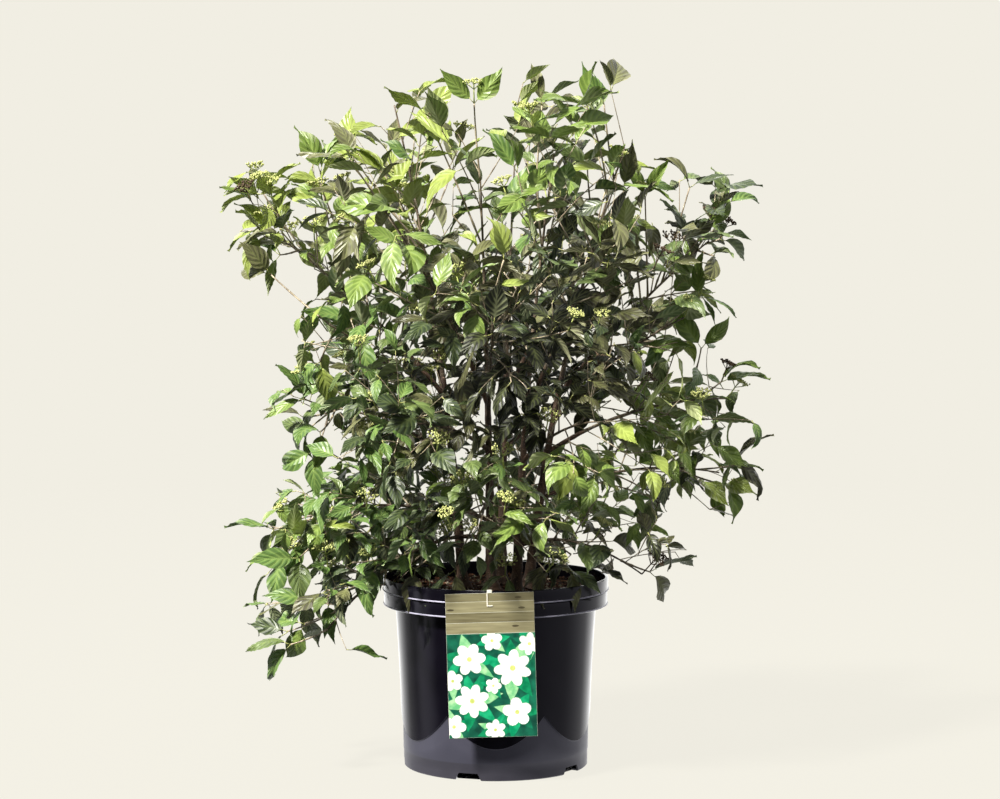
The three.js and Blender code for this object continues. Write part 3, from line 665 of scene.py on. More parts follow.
class Space:
    """Where a leaf may be: in the crown, clear of the pot and its label, and near its own leader."""

    def __init__(self, limbs):
        lines = np.array([limb.leader for limb in limbs])
        self.shape = lines.shape[0], lines.shape[1] - 1
        self.starts = lines[:, :-1].reshape(-1, 3)
        self.spans = (lines[:, 1:] - lines[:, :-1]).reshape(-1, 3)
        self.squares = (self.spans**2).sum(1)

    def distances(self, points):
        """How far each point is from each leader."""
        offsets = points[:, None] - self.starts
        shares = np.clip((offsets * self.spans).sum(2) / self.squares, 0, 1)
        nearest = offsets - shares[..., None] * self.spans
        return np.sqrt((nearest**2).sum(2)).reshape(len(points), *self.shape).min(2)

    def holds(self, points, index):
        """True if all the points are in the space of the mass with that index."""
        points = np.atleast_2d(points)
        if not (in_crown(points) & ~before_label(points) & ~in_pot(points) & ~in_sky(points)).all():
            return False
        distances = self.distances(points)
        return bool((distances[:, index] <= distances.min(1) + OVERLAP).all())


def in_crown(points):
    x, y, z = points.T
    heights, left, right, depth = CROWN.T
    side = np.where(x < 0, np.interp(z, heights, left), np.interp(z, heights, right))
    azimuth = np.arctan2(y, x)
    dips = 0.5 + 0.5 * np.sin(5 * azimuth + z / 37) * np.sin(z / 53 - 2 * azimuth)
    inside = np.hypot(x / side, y / np.interp(z, heights, depth)) < 1 - RAGGED * dips
    return inside & (z > heights[0]) & (z < heights[-1])


def before_label(points):
    """True where a leaf would hide the label or keep the light off it."""
    x, y, z = points.T
    lowest = LABEL_VIEW["low"] + LABEL_VIEW["rise"] * np.maximum(0, -POT["rim"] - y)
    return (abs(x) < LABEL_VIEW["half_width"]) & (y < LABEL_VIEW["front"]) & (z < lowest)


def seen(points):
    """The X and Z at which points show on the plane through the pot's middle, from the front view."""
    x, y, z = np.atleast_2d(points).T
    eye_x, eye_y, eye_z = CAMERA["place"]
    nearer = -eye_y / (y - eye_y)
    return eye_x + (x - eye_x) * nearer, eye_z + (z - eye_z) * nearer


def in_sky(points):
    x, z = seen(points)
    return (np.hypot(x[:, None] - SKY[:, 0], z[:, None] - SKY[:, 1]) < SKY[:, 2]).any(1)


def patches(point, table):
    """What each round patch of a table gives at a point in the front view: it fades towards its edge."""
    x, z = seen(point)
    reach = np.hypot(x - table[:, 0], z - table[:, 1])
    return table[:, 3] * np.clip(FADE - FADE * reach / table[:, 2], 0, 1)


def shades_label(point):
    """True where a leaf would throw its shadow on the label's head."""
    ahead = -POT["rim"] - point[1]
    x, z = point[0] + LABEL_LIGHT["across"] * ahead, point[2] - LABEL_LIGHT["rise"] * ahead
    beside = abs(x - LABEL["x"]) > LABEL_LIGHT["half_width"]
    return ahead > 0 and not beside and LABEL_LIGHT["low"] < z < LABEL_LIGHT["high"]


def left_out(point):
    """The share of the leaves that is left out at a point."""
    if shades_label(point):
        return 1.0
    in_hollow = np.linalg.norm((point - HOLLOW["middle"]) / HOLLOW["size"]) < 1
    gaps = CLUMP["share"] * between_clumps(point) * (1 if point[1] < CLUMP["back"] else CLUMP["behind"])
    return float(max(patches(point, THIN).max(), gaps, HOLLOW["share"] * in_hollow))


def between_clumps(point):
    """From 0 inside a clump of leaves to 1 in the gaps between the clumps."""
    x, y, z = point / CLUMP["size"]
    winding, slower = CLUMP["winding"], CLUMP["slower"]
    wave = sum(math.sin(a + winding * math.sin(slower * b)) for a, b in ((x, z), (y, x), (z, y)))
    return float(np.clip((wave - CLUMP["low"]) / (CLUMP["high"] - CLUMP["low"]), 0, 1))


def openness(point):
    """From 0 in the dense body of the crown to 1 in its airy top."""
    return float(np.clip((point[2] - OPEN["low"]) / (OPEN["high"] - OPEN["low"]), 0, 1))


def in_pot(points):
    clearance = 4
    reach = np.hypot(points[:, 0], points[:, 1])
    beside = (reach < POT["rim"] + clearance) & (points[:, 2] < POT["height"] + clearance)
    above_soil = (reach < POT["rim"] - POT["lip"] - clearance) & (points[:, 2] > SOIL["top"] + clearance)
    return beside & ~above_soil


class Crowd:
    """The places that leaves and limbs already take, in cells."""

    def __init__(self, cell):
        self.cell = cell
        self.cells = {}

    def add(self, points):
        for point in np.atleast_2d(points):
            self.cells.setdefault(tuple((point // self.cell).astype(int)), []).append(point)

    def clear(self, points):
        """True if no place is nearer than a cell's width to any of the points."""
        for point in points:
            x, y, z = (point // self.cell).astype(int)
            for i in (x - 1, x, x + 1):
                for j in (y - 1, y, y + 1):
                    for k in (z - 1, z, z + 1):
                        for place in self.cells.get((i, j, k), ()):
                            if ((place - point) ** 2).sum() < self.cell**2:
                                return False
        return True


# ------------------------------------------------------------------------------------ growing the plant

class Growth:
    """Grows the twigs, leaves and flower heads of all the masses, and gathers what they need as meshes."""

    def __init__(self, limbs):
        self.limbs = limbs
        self.space = Space(limbs)
        self.crowd = Crowd(LEAF["apart"])
        self.wood, self.shoots = Soup(), Soup()
        self.leaves, self.heads = [], []
        for limb in limbs:
            self.crowd.add(limb.line.at(np.linspace(0, limb.share, 40)))

    def grow(self, index):
        """One mass on its leader, by the rule of the part's source."""
        limb = self.limbs[index]
        self.index, self.dice = index, Dice(limb.seed)
        dice = self.dice
        ends = np.linspace(LEADER["least"], 1, 31)
        last = [share for share in ends if not in_sky(limb.line.at([share]))[0]][-1]
        first_turn = dice.between(0, 2 * math.pi)
        reached = limb.share
        for row in SHOOTS.get(limb.name, ()):
            reached = max(reached, self.add_shoot(limb, *row))
        for k in range(TWIG["count"]):
            share = mix(TWIG["low"], TWIG["high"], (k + dice.between(0, 0.5)) / (TWIG["count"] - 0.5))
            place = mix(limb.share, last, share)
            root, heading = limb.line.at(place), limb.line.heading(place)
            open_here = openness(root)
            if dice.draw() < OPEN["twigs"] * open_here:
                continue
            outward = turned(across(heading), heading, first_turn + k * GOLDEN_ANGLE)
            along = TWIG["along"] + OPEN["along"] * open_here
            direction = unit(TWIG["outward"] * outward + along * heading + TWIG["rise"] * UP)
            line = self.free_line(root, direction, TWIG)
            radius = TWIG["foot"] * mix(limb.end, LEADER["tip"], share)
            if line is not None and self.add_twig(line, radius, self.pick_tint(line.tip)):
                reached = max(reached, place)
        if self.end_spray(limb.line, self.pick_tint(limb.line.at(last)), first_turn, LEAF["length"], last):
            reached = last
        self.add_leader(limb, reached)

    def add_leader(self, limb, last):
        """The leader's tube, from just inside the bare wood to its last twig or leaves."""
        rings = LEADER["rings"]
        shares = np.linspace(limb.share - LEADER["sink"], last, rings)
        along = np.clip((shares - limb.share) / (last - limb.share), 0, 1) ** LEADER["taper"]
        uneven = 1 + LEADER["uneven"] * np.sin(np.arange(rings) * 2.1)
        radii = mix(limb.end, LEADER["tip"], along) * uneven
        self.wood.add(*tube(limb.line.at(shares), radii, LEADER["sides"]))

    def add_shoot(self, limb, share, x, y, z, end_spread=LEAF["end_spread"]):
        """A long shoot to a place on the crown's outline. Its end leaves spread across the front view."""
        place = mix(limb.share, 1, share)
        root, end = limb.line.at(place), np.array([x, y, z], float)
        reach = np.linalg.norm(end - root)
        sway = np.array([self.dice.between(-1, 1), self.dice.between(-1, 1), 0]) * SHOOT["sway"]
        line = Line(root, mix(root, end, 0.5) + (sway - UP * SHOOT["arch"]) * reach, end)
        tint = self.pick_tint(end + (end - root) * SHOOT["beyond"])
        steps = max(3, round(reach / SHOOT["step"]))
        self.add_wood(line, SHOOT["radius"], steps, 1)
        for step in range(1, steps):
            if step / steps > SHOOT["bare"]:
                turn, spread = step % 2 * math.pi / 2, math.radians(LEAF["spread"])
                self.add_pair(line, step / steps, turn, spread, SHOOT["leaf"] * SHOOT["pair"], tint)
        heading = line.heading(1)
        side = unit(np.cross(heading, [0, 1, 0]))
        for hand in (1, -1):
            spread = math.radians(end_spread * self.dice.between(SHOOT["narrow"], SHOOT["wide"]))
            direction = math.cos(spread) * heading + math.sin(spread) * hand * side
            length = SHOOT["leaf"] * self.dice.between(SHOOT["least"], 1)
            self.add_leaf(end, direction, length, tint, free=True)
        if self.dice.draw() < SHOOT["head"]:
            self.add_head(line)
        return place

    def free_line(self, root, direction, kind):
        """A slightly arching line, shortened until it stays in the mass's own space."""
        reach = kind["reach"] * self.dice.between(kind["shortest"], kind["longest"])
        while reach > kind["least"]:
            tip = root + direction * reach
            sway = across(direction) * TWIG["aside"] * self.dice.between(-1, 1)
            arch = UP * TWIG["arch"] * self.dice.between(*TWIG["arching"])
            bend = mix(root, tip, 0.5) + reach * (arch + sway)
            line = Line(root, bend, tip)
            if self.space.holds(line.at([0.4, 0.7, 1]), self.index):
                return line
            reach *= kind["shorten"]
        return None

    def add_twig(self, line, radius, tint):
        """A twig with pairs of leaves, sprigs in some of their axils, and a spray at its end.

        It ends at its last leaves, and one without leaves is left out.
        """
        steps = max(2, round(line.length() / TWIG["step"]))
        turn = self.dice.between(0, math.pi)
        open_here = openness(line.tip)
        reached = 0
        for step in range(1, steps):
            share = step / steps
            if share < TWIG["bare"] * open_here:
                continue
            size = LEAF["length"] * mix(1, TWIG["last_pair"], share)
            twist = turn + step * math.pi / 2
            if self.add_pair(line, share, twist, math.radians(LEAF["spread"]), size, tint):
                reached = share
            for hand in (1, -1):
                wanted = self.dice.draw() < SPRIG["chance"] * (1 - OPEN["sprigs"] * open_here)
                if wanted and self.add_sprig(line, share, twist, hand, tint):
                    reached = share
        if self.end_spray(line, tint, turn, LEAF["length"] * TWIG["end_leaf"]):
            reached = 1
        if reached:
            self.add_wood(line, radius, steps, reached)
        return reached > 0

    def add_wood(self, line, radius, steps, last):
        """The twig's own tube, thicker where its pairs of leaves grow."""
        rings = TWIG["rings"] * steps + 1
        shares = np.linspace(0, last, rings)
        knots = 1 + TWIG["knot"] * (np.arange(rings) % TWIG["rings"] == 0)
        radii = mix(radius, radius * TWIG["taper"], shares) * knots
        self.shoots.add(*tube(line.at(shares), radii, TWIG["sides"]))

    def add_sprig(self, line, share, turn, hand, tint):
        heading = line.heading(share)
        spread = math.radians(SPRIG["spread"])
        outward = turned(across(heading), heading, turn) * hand
        direction = unit(math.cos(spread) * heading + math.sin(spread) * outward + TWIG["rise"] * UP)
        sprig = self.free_line(line.at(share), direction, SPRIG)
        if sprig is None:
            return False
        size = LEAF["length"] * SPRIG["leaf"]
        inner = self.add_pair(sprig, 0.5, turn, math.radians(LEAF["spread"]), size, tint)
        outer = self.end_spray(sprig, tint, turn, LEAF["length"] * SPRIG["end_leaf"])
        if inner or outer:
            shares = np.linspace(0, 1 if outer else 0.5, 5)
            radii = mix(SPRIG["radius"], 0.5 * SPRIG["radius"], shares)
            self.shoots.add(*tube(sprig.at(shares), radii, SPRIG["sides"]))
        return inner or outer

    def end_spray(self, line, tint, turn, size, share=1.0):
        """The last pair of leaves, with a flower head between them on some."""
        place, turn = share - LEAF["end_back"], turn + LEAF["end_turn"]
        grown = self.add_pair(line, place, turn, math.radians(LEAF["end_spread"]), size, tint)
        if self.dice.draw() < HEAD["chance"] + HEAD["more"] * openness(line.at(share)):
            grown = self.add_head(line, share) or grown
        return grown

    def add_pair(self, line, share, turn, spread, size, tint):
        base, heading = line.at(share), line.heading(share)
        side = turned(across(heading), heading, turn)
        open_here = openness(base)
        size *= 1 + OPEN["size"] * open_here
        hang = LEAF["hang"] * (1 - OPEN["hang"] * open_here)
        grown = False
        for hand in (1, -1):
            direction = math.cos(spread) * heading + math.sin(spread) * hand * side
            direction[2] -= hang * self.dice.between(0, LEAF["most_hang"])
            length = size * self.dice.between(LEAF["least"], 1)
            grown = self.add_leaf(base, direction, length, tint) or grown
        return grown

    def add_leaf(self, base, direction, length, tint, free=False):
        """One leaf on its stalk. A few other turns are tried before it is skipped.

        A free leaf faces the front and may leave the mass's space.
        """
        dice = self.dice
        open_here = openness(base)
        middle = base + direction * length * 0.5
        missing = float(shades_label(middle)) if free else left_out(middle)
        if dice.draw() < missing:
            return False
        if dice.draw() < LEAF["odd"]:
            names = list(TINTS)
            neighbour = names.index(tint) + (1 if dice.draw() < 0.5 else -1)
            tint = names[min(max(neighbour, 0), len(names) - 1)]
        for attempt in range(LEAF["tries"]):
            stray = np.array([dice.between(-1, 1), dice.between(-1, 1), dice.between(-0.7, 0.7)])
            along = unit(direction + stray * LEAF["stray"] * (0.4 + attempt))
            size = length * (1 - LEAF["shrink"] * attempt)
            side = unit(np.cross(along, FORWARD if free else UP))
            side = turned(side, along, dice.between(-LEAF["roll"], LEAF["roll"]))
            normal = np.cross(side, along)
            foot = base + along * size * LEAF["stalk"] + normal * STALK["lift"] * size
            bend = dice.between(*BLADE["bends"]) * (1 - OPEN["bend"] * open_here)
            tested = foot + size * blade_points(side, along, normal, bend)
            if not (free or self.space.holds(tested, self.index)) or not self.crowd.clear(tested):
                continue
            self.crowd.add(tested)
            flattest, steepest = BLADE["folds"]
            shape = (
                BLADE["width"] * dice.between(*BLADE["widths"]),
                dice.between(flattest, steepest + OPEN["fold"] * open_here),
                bend,
                dice.between(*BLADE["twists"]),
                dice.between(*BLADE["ripples"]),
            )
            self.leaves.append((foot, side, along, normal, size, shape, tint))
            self.add_stalk(base, foot, along, size)
            return True
        return False

    def add_stalk(self, base, foot, along, size):
        """A leaf's stalk, which runs on as the root of its midrib."""
        sag = mix(base, foot, 0.5) - UP * STALK["sag"] * size
        points = [base, sag, foot + along * STALK["root"] * size]
        self.shoots.add(*tube(points, STALK["radii"], 3), slot=1)

    def add_head(self, line, share=1.0):
        """A flower head on its own stalk, if there is room."""
        root = line.at(share)
        heading = unit(mix(line.heading(share), UP, HEAD["lift"]))
        centre = root + heading * HEAD["stalk"]
        ways = np.array([[1, 0, 0], [-1, 0, 0], [0, 1, 0], [0, -1, 0]])
        spread = centre + HEAD["radius"] * HEAD["room"] * ways
        if not self.space.holds(np.vstack([centre, spread]), self.index):
            return False
        size = self.dice.between(HEAD["least"], HEAD["most"])
        self.heads.append((root, centre, heading, size, self.dice.draw()))
        self.crowd.add(np.vstack([centre, spread]))
        return True

    def pick_tint(self, point):
        """The colour of a spray, with light and shade painted in by where the sun reaches, and some chance in
        it.
        """
        offset = (point - SUNLIT["middle"]) / SUNLIT["reach"]
        outside = np.linalg.norm(offset)
        sunlit = np.dot(offset, SUNWARD) + SUNLIT["outside"] * (outside - SUNLIT["surface"])
        sunlit += self.dice.between(-SUNLIT["chance"], SUNLIT["chance"])
        # The patches paint more light or shade into the spray's tint.
        sunlit += patches(point, TONES).sum()
        name = next((name for name, least in LIGHT_NEEDED.items() if sunlit > least), "shade")
        on_left, above = point[0] < TURNING["left"], point[2] > TURNING["upper"]
        if name in ("fresh", "green") and on_left and not above and self.dice.draw() < TURNING["lush"]:
            return "lush"
        if name in ("lime", "fresh") and above and self.dice.draw() < TURNING["drab"]:
            return "drab"
        # Olive paints shade into sprays on the right and inside of the crown.
        on_right = name in ("green", "deep") and point[0] > TURNING["right"]
        inside = name == "deep" and outside < TURNING["inside"]
        return "olive" if (on_right or inside) and self.dice.draw() < TURNING["olive"] else name


def blade_points(side, along, normal, bend):
    """Places on a leaf of unit length that stand for all of it: down its bent middle, and at its widest."""
    return np.array([
        along * 0.35,
        along * 0.62 - normal * 0.2 * bend,
        along * (1 - 0.16 * bend) - normal * 0.46 * bend,
        along * 0.42 + side * 0.2,
        along * 0.42 - side * 0.2,
    ])


# -------------------------------------------------------------------------------------------- leaf mesh

ROWS, COLUMNS = 16, (0.0, 0.52, 1.0)  # two rows for each pair of side veins, and columns on each half


def leaf_grid():
    """The columns and rows of a leaf's grid: column from -1 to 1, row share from 0 to 1, and row number."""
    columns = np.array([-c for c in COLUMNS[:0:-1]] + list(COLUMNS))
    rows = np.arange(ROWS + 1)
    column, row = np.meshgrid(columns, rows)
    return column, row / ROWS, row


def outline(y):
    """The half width of a leaf at a share of its length: widest before the middle, with a drawn-out tip."""
    body = np.sin(np.pi * np.clip(y, 0, 1) ** 0.82) ** 0.85
    return 0.5 * body * (1 - 0.8 * np.clip((y - 0.42) / 0.58, 0, 1) ** 1.3) + 0.004


def leaf_vertices(leaves):
    """The vertices of many leaves: for each, its top grid and then the inner columns of its underside."""
    column, share, row = leaf_grid()
    feet, sides, alongs, normals, sizes, shapes, _ = zip(*leaves)
    width, fold, bend, twist, ripple = [np.array(v)[:, None, None] for v in zip(*shapes)]
    margin = 1 - (1 - share) ** 1.7
    y = mix(share**1.35, margin, abs(column) ** 1.3)
    alternate = np.where(row % 2 == 0, 1.0, -1.0)
    lively = np.sin(np.pi * np.clip(share * 0.92 + 0.06, 0, 1)) ** 0.5
    x = column * outline(margin) * width / np.sqrt(1 + fold**2)
    x = x + np.where(abs(column) == 1, np.sign(column) * BLADE["tooth"] * alternate * lively, 0)
    wave = np.where(column == 0, 0.25, 1.0) * -alternate * BLADE["pleat"] * lively
    z = wave + fold * abs(x) - 0.8 * x**2 + ripple * abs(column) * np.sin(3 * np.pi * share + column)
    below = np.where(abs(column) == 1, 0.0, BLADE["thickness"] * np.where(column == 0, 1.5, 1.0)) * lively

    def placed(x, y, z):
        bent = np.maximum(bend, 0.01)
        angle = bent * y
        along = np.sin(angle) / bent + z * np.sin(angle)
        rise = -(1 - np.cos(angle)) / bent + z * np.cos(angle)
        spin = twist * y
        across_it = x * np.cos(spin) - rise * np.sin(spin)
        rise = x * np.sin(spin) + rise * np.cos(spin)
        axes = [np.array(v)[:, None, None, :] for v in (sides, alongs, normals)]
        local = across_it[..., None] * axes[0] + along[..., None] * axes[1] + rise[..., None] * axes[2]
        return np.array(feet)[:, None, None] + local * np.array(sizes)[:, None, None, None]

    top = placed(x, y, z)
    under = placed(x, y, z - below)[:, :, 1:-1]
    flat = np.concatenate([top.reshape(len(leaves), -1, 3), under.reshape(len(leaves), -1, 3)], 1)
    vein = np.where((row % 2 == 0) | (column == 0), 1.0, 0.0)
    values = np.concatenate([vein.ravel(), vein[:, 1:-1].ravel()])
    return flat, values


def leaf_faces():
    """The faces of one leaf: its top, its underside, which shares the top's edge, and its two ends."""
    wide = 2 * len(COLUMNS) - 1
    rows = ROWS + 1
    top = np.arange(rows * wide).reshape(rows, wide)
    under = top.copy()
    under[:, 1:-1] = rows * wide + np.arange(rows * (wide - 2)).reshape(rows, wide - 2)

    def quads(grid):
        return np.stack([grid[:-1, :-1], grid[:-1, 1:], grid[1:, 1:], grid[1:, :-1]], -1).reshape(-1, 4)

    ends = []
    for end, order in ((0, -1), (rows - 1, 1)):
        corners = np.concatenate([top[end], under[end, 1:-1][::-1]])
        ends.append(corners[::order])
    return quads(top), quads(under)[:, ::-1], np.array(ends)


def leaf_materials(tint):
    """A leaf's top and underside. The bright tints have paler veins and let more light through."""
    top, under = TINTS[tint]
    bright = tint in BRIGHT_TINTS
    through = 0.24 if bright else 0.12
    top_veins = tuple(mix(value, vein, 0.5) for value, vein in zip(top, VEINS["top"]))
    return [
        leaf_finish(f"leaf_{tint}_top", top, top_veins, 0.58 if bright else 0.32, 0.4, through),
        leaf_finish(f"leaf_{tint}_under", under, VEINS["under"], 0.65 if bright else 0.4, 0.6, through),
    ]


def leaf_pieces(leaves):
    """The leaves of each colour, joined into pieces under the limit."""
    groups = leaf_faces()
    room = PIECE_LIMIT // sum(len(group) * (group.shape[1] - 2) for group in groups)
    pieces = []
    for tint in TINTS:
        chosen = [leaf for leaf in leaves if leaf[-1] == tint]
        materials = leaf_materials(tint)
        for part, start in enumerate(range(0, len(chosen), room)):
            vertices, values = leaf_vertices(chosen[start:start + room])
            count, each, _ = vertices.shape
            offsets = each * np.arange(count)[:, None, None]
            faces = [(group + offsets).reshape(-1, group.shape[1]) for group in groups]
            soup = Soup()
            soup.add(vertices, faces, [0, 1, 1], np.tile(values, count))
            name = f"leaves_{tint}_{part + 1}"
            pieces.append(soup.piece(name, materials, smooth=False, value_name="vein"))
    return pieces


# ----------------------------------------------------------------------------------------- flower heads

def bud_shape():
    """A small round bud of unit radius: two rings of five corners, and a pole at each end."""
    sides = 5
    rings = [level_ring(ring_angles(sides), math.sqrt(1 - height**2), height) for height in (-0.6, 0.55)]
    points = np.vstack([-UP, *rings, UP])
    quads = ring_faces(2, sides) + 1
    low, next_low, next_high, high = quads.T
    foot = [np.zeros(sides, int), next_low, low]
    top = [np.full(sides, len(points) - 1), high, next_high]
    return points, [np.hstack([foot, top]).T, quads]


def add_flower_head(rays, buds, head):
    """Rays spread from the stalk's end, fork, and carry buds in a flattish top."""
    tip, centre, heading, size, chance = head
    dice = Dice(int(chance * 10000) + 1)
    shape, faces = bud_shape()
    rays.add(*tube([tip, mix(tip, centre, 0.5), centre], [0.9, 0.8, 0.8], 4))
    side = across(heading)
    radius = HEAD["radius"] * size
    for k in range(HEAD["rays"]):
        lean = RAY["middle"] if k == 0 else 1.0
        outward = turned(side, heading, k * 2 * math.pi / (HEAD["rays"] - 1) + dice.between(-0.2, 0.2))
        flatness = HEAD["flat"] + RAY["dome"] * (1 - lean)
        fork = centre + outward * radius * RAY["reach"] * lean + heading * radius * flatness
        rays.add(*tube([centre, fork], [0.55, 0.45], 3))
        for j in range(HEAD["forks"]):
            spread = turned(side, heading, j * GOLDEN_ANGLE + k)
            reach = math.sqrt((j + 0.3) / HEAD["forks"])
            end = fork + spread * radius * RAY["fork"] * reach + heading * radius * RAY["rise"]
            end = end + heading * dice.between(*RAY["uneven"]) * radius
            rays.add(*tube([fork, end], [0.35, 0.3], 3))
            for _ in range(2 if j % 2 else 1):
                aside = np.array([dice.between(-1, 1), dice.between(-1, 1), dice.between(-0.5, 1)])
                place = end + aside * HEAD["bud"] * RAY["scatter"]
                buds.add(place + shape * HEAD["bud"] * dice.between(*RAY["buds"]), faces)


def is_dry(head):
    """Some heads have dried, most of them on the shaded right."""
    place, chance = head[1], head[-1]
    return chance < (DRY["share"] if place[0] > DRY["right"] else DRY["elsewhere"])


def flower_pieces(heads):
    """All the flower heads: green-yellow fresh ones, and a few that have dried."""
    stalk = plain_finish("flower_stalk", (132, 148, 70), (170, 178, 98), 300, 0.6)
    fresh = plain_finish("flower_bud", (160, 168, 92), (202, 202, 138), 700, 0.55)
    dry = plain_finish("flower_dry", (58, 46, 34), (96, 76, 54), 500, 0.8)
    kinds = {"fresh": (stalk, fresh), "dry": (dry, dry)}
    pieces = []
    for kind, (ray_material, bud_material) in kinds.items():
        rays, buds = Soup(), Soup()
        for head in heads:
            if is_dry(head) == (kind == "dry"):
                add_flower_head(rays, buds, head)
        pieces.append(rays.piece(f"flower_rays_{kind}", [ray_material]))
        pieces.append(buds.piece(f"flower_buds_{kind}", [bud_material]))
    return pieces


# ------------------------------------------------------------------------------------- stems and boughs

def bark_radii(radii, sides, dice, flared):
    """The radii of bark: low ridges that wander along the limb, joints, and root spurs at a flared foot."""
    angles, ring = ring_angles(sides), np.arange(len(radii))[:, None]
    phases = [dice.between(0, 2 * math.pi) for _ in range(4)]
    relief = 0
    for (count, height, turn), phase in zip(BARK["ridges"], phases):
        relief = relief + height * np.sin(count * angles + phase + turn * ring)
    relief = relief + BARK["swelling"] * np.sin(BARK["swell_pace"] * ring + phases[2])
    from_joint = (ring + 6 * phases[3]) % BARK["joints_apart"] - BARK["joints_apart"] / 2
    joints = BARK["joint"] * np.exp(-(from_joint**2) / BARK["joint_width"])
    spurs = 0.0
    if flared:
        lobes = np.maximum(0, np.cos(BARK["spurs"] * angles + phases[1]))
        spurs = BARK["spur"] * lobes * np.exp(-ring / BARK["spur_length"])
    return radii[:, None] * (1 + relief + joints + spurs)


def limb_piece(limb, material):
    """One stem or bough, with the bark's relief, from its foot to just inside its leader."""
    shape, flared = limb.shape, "flare" in limb.shape
    shares = np.linspace(0, 1, shape["rings"]) ** shape["crowding"]
    radii = mix(shape["foot"], shape["end"], shares)
    if flared:
        radii = radii + shape["flare"] * np.exp(-shares / shape["flare_share"])
    radii = bark_radii(radii, shape["sides"], Dice(limb.seed), flared)
    soup = Soup()
    soup.add(*tube(limb.line.at(shares * limb.share), radii, shape["sides"]))
    keep(soup.piece(f"bark_{limb.node}", [material]), "bark", limb.node)


def plant():
    """The stems, the boughs and the masses that grow on from them."""
    stems = [make_stem(index, row) for index, row in enumerate(STEMS)]
    stem_named = {stem.name: stem for stem in stems}
    limbs = stems + [make_bough(index, row, stem_named) for index, row in enumerate(BOUGHS)]
    old_bark = bark_finish("bark", (52, 38, 31), (98, 75, 58), 0.75)
    young_bark = bark_finish("young_bark", (66, 54, 46), (130, 114, 94), 0.6)
    shoot_bark = bark_finish("shoot_bark", (104, 90, 72), (190, 176, 150), 0.5)
    stalk = plain_finish("leaf_stalk", (138, 142, 74), (176, 178, 112), 200, 0.5)
    for limb in limbs:
        limb_piece(limb, old_bark)
    growth = Growth(limbs)
    for index in range(len(limbs)):
        growth.grow(index)
    masses = [f"leaves_{limb.name}" for limb in limbs]
    keep(growth.wood.piece("leaders", [young_bark]), "bark", *masses)
    keep(growth.shoots.piece("twigs", [shoot_bark, stalk]), "bark")
    for piece in leaf_pieces(growth.leaves) + flower_pieces(growth.heads):
        keep(piece, "foliage")


# -------------------------------------------------------------------------------------------------- pot

def scallop(angles):
    """The height of the skirt's edge round the pot: arcs that meet in points."""
    period = 2 * math.pi / SKIRT["count"]
    offset = (angles + math.pi / 2 + period / 2) % period - period / 2
    return SKIRT["low"] + (SKIRT["high"] - SKIRT["low"]) * (2 * abs(offset) / period) ** 2


def wall_radius(height):
    return mix(POT["base"], POT["top"], height / RIM_FOOT)


def pot_rows():
    """The pot's outline from the middle of its foot round to the middle of its floor.

    Each row is a radius, a height, how far it follows the scalloped edge, and the finish of the faces above
    it. A radius of None follows the skirt's slope.
    """
    base, low, step = POT["base"], SKIRT["low"], SKIRT["foot"]
    band_top = RIM_FOOT + BAND["height"]
    foot = [(0.5, 0), (base - 1.2, 0), (base, 1.2), (base + 0.1, 9), (base + 0.2, step - 1)]
    rows = [(radius, height, 0, DARK_FOOT_PAINTED_REFLECTION) for radius, height in foot]
    rows += [(base + 0.75, step, 0, SATIN_PAINTED_REFLECTION), (None, low - 12, 0.6, SATIN_PAINTED_REFLECTION), (None, low - 1.2, 1, SATIN_PAINTED_REFLECTION)]
    wall = [(low, 1), (low + 1.5, 1), (60, 0.75), (85, 0.4), (110, 0.15)]
    wall += [(height, 0) for height in (130, 150, 170, 188, RIM_FOOT - 4, RIM_FOOT)]
    rows += [(wall_radius(height), height, follow, GLOSS) for height, follow in wall]
    bands = ((POT["rim"] - BAND["step"], RIM_FOOT, band_top), (POT["rim"], band_top, POT["height"]))
    for radius, start, end in bands:
        rows += [(radius + out, start + rise, 0, finish) for out, rise, finish in BAND_FOOT]
        rows += [(radius - 0.2, mix(start, end, 0.5), 0, GLOSS)]
        rows += [(radius + out, end + rise, 0, GLOSS) for out, rise in BAND_TOP]
    inside, thick, lip = POT["rim"] - POT["lip"], POT["wall"], POT["height"]
    inner = [(inside + 1.3, lip), (inside + 0.3, lip - 0.9), (inside, lip - 4)]
    inner += [(inside, RIM_FOOT + thick), (POT["top"] - thick, RIM_FOOT), (base - thick, thick), (0.5, thick)]
    return rows + [(radius, height, 0, GLOSS) for radius, height in inner]


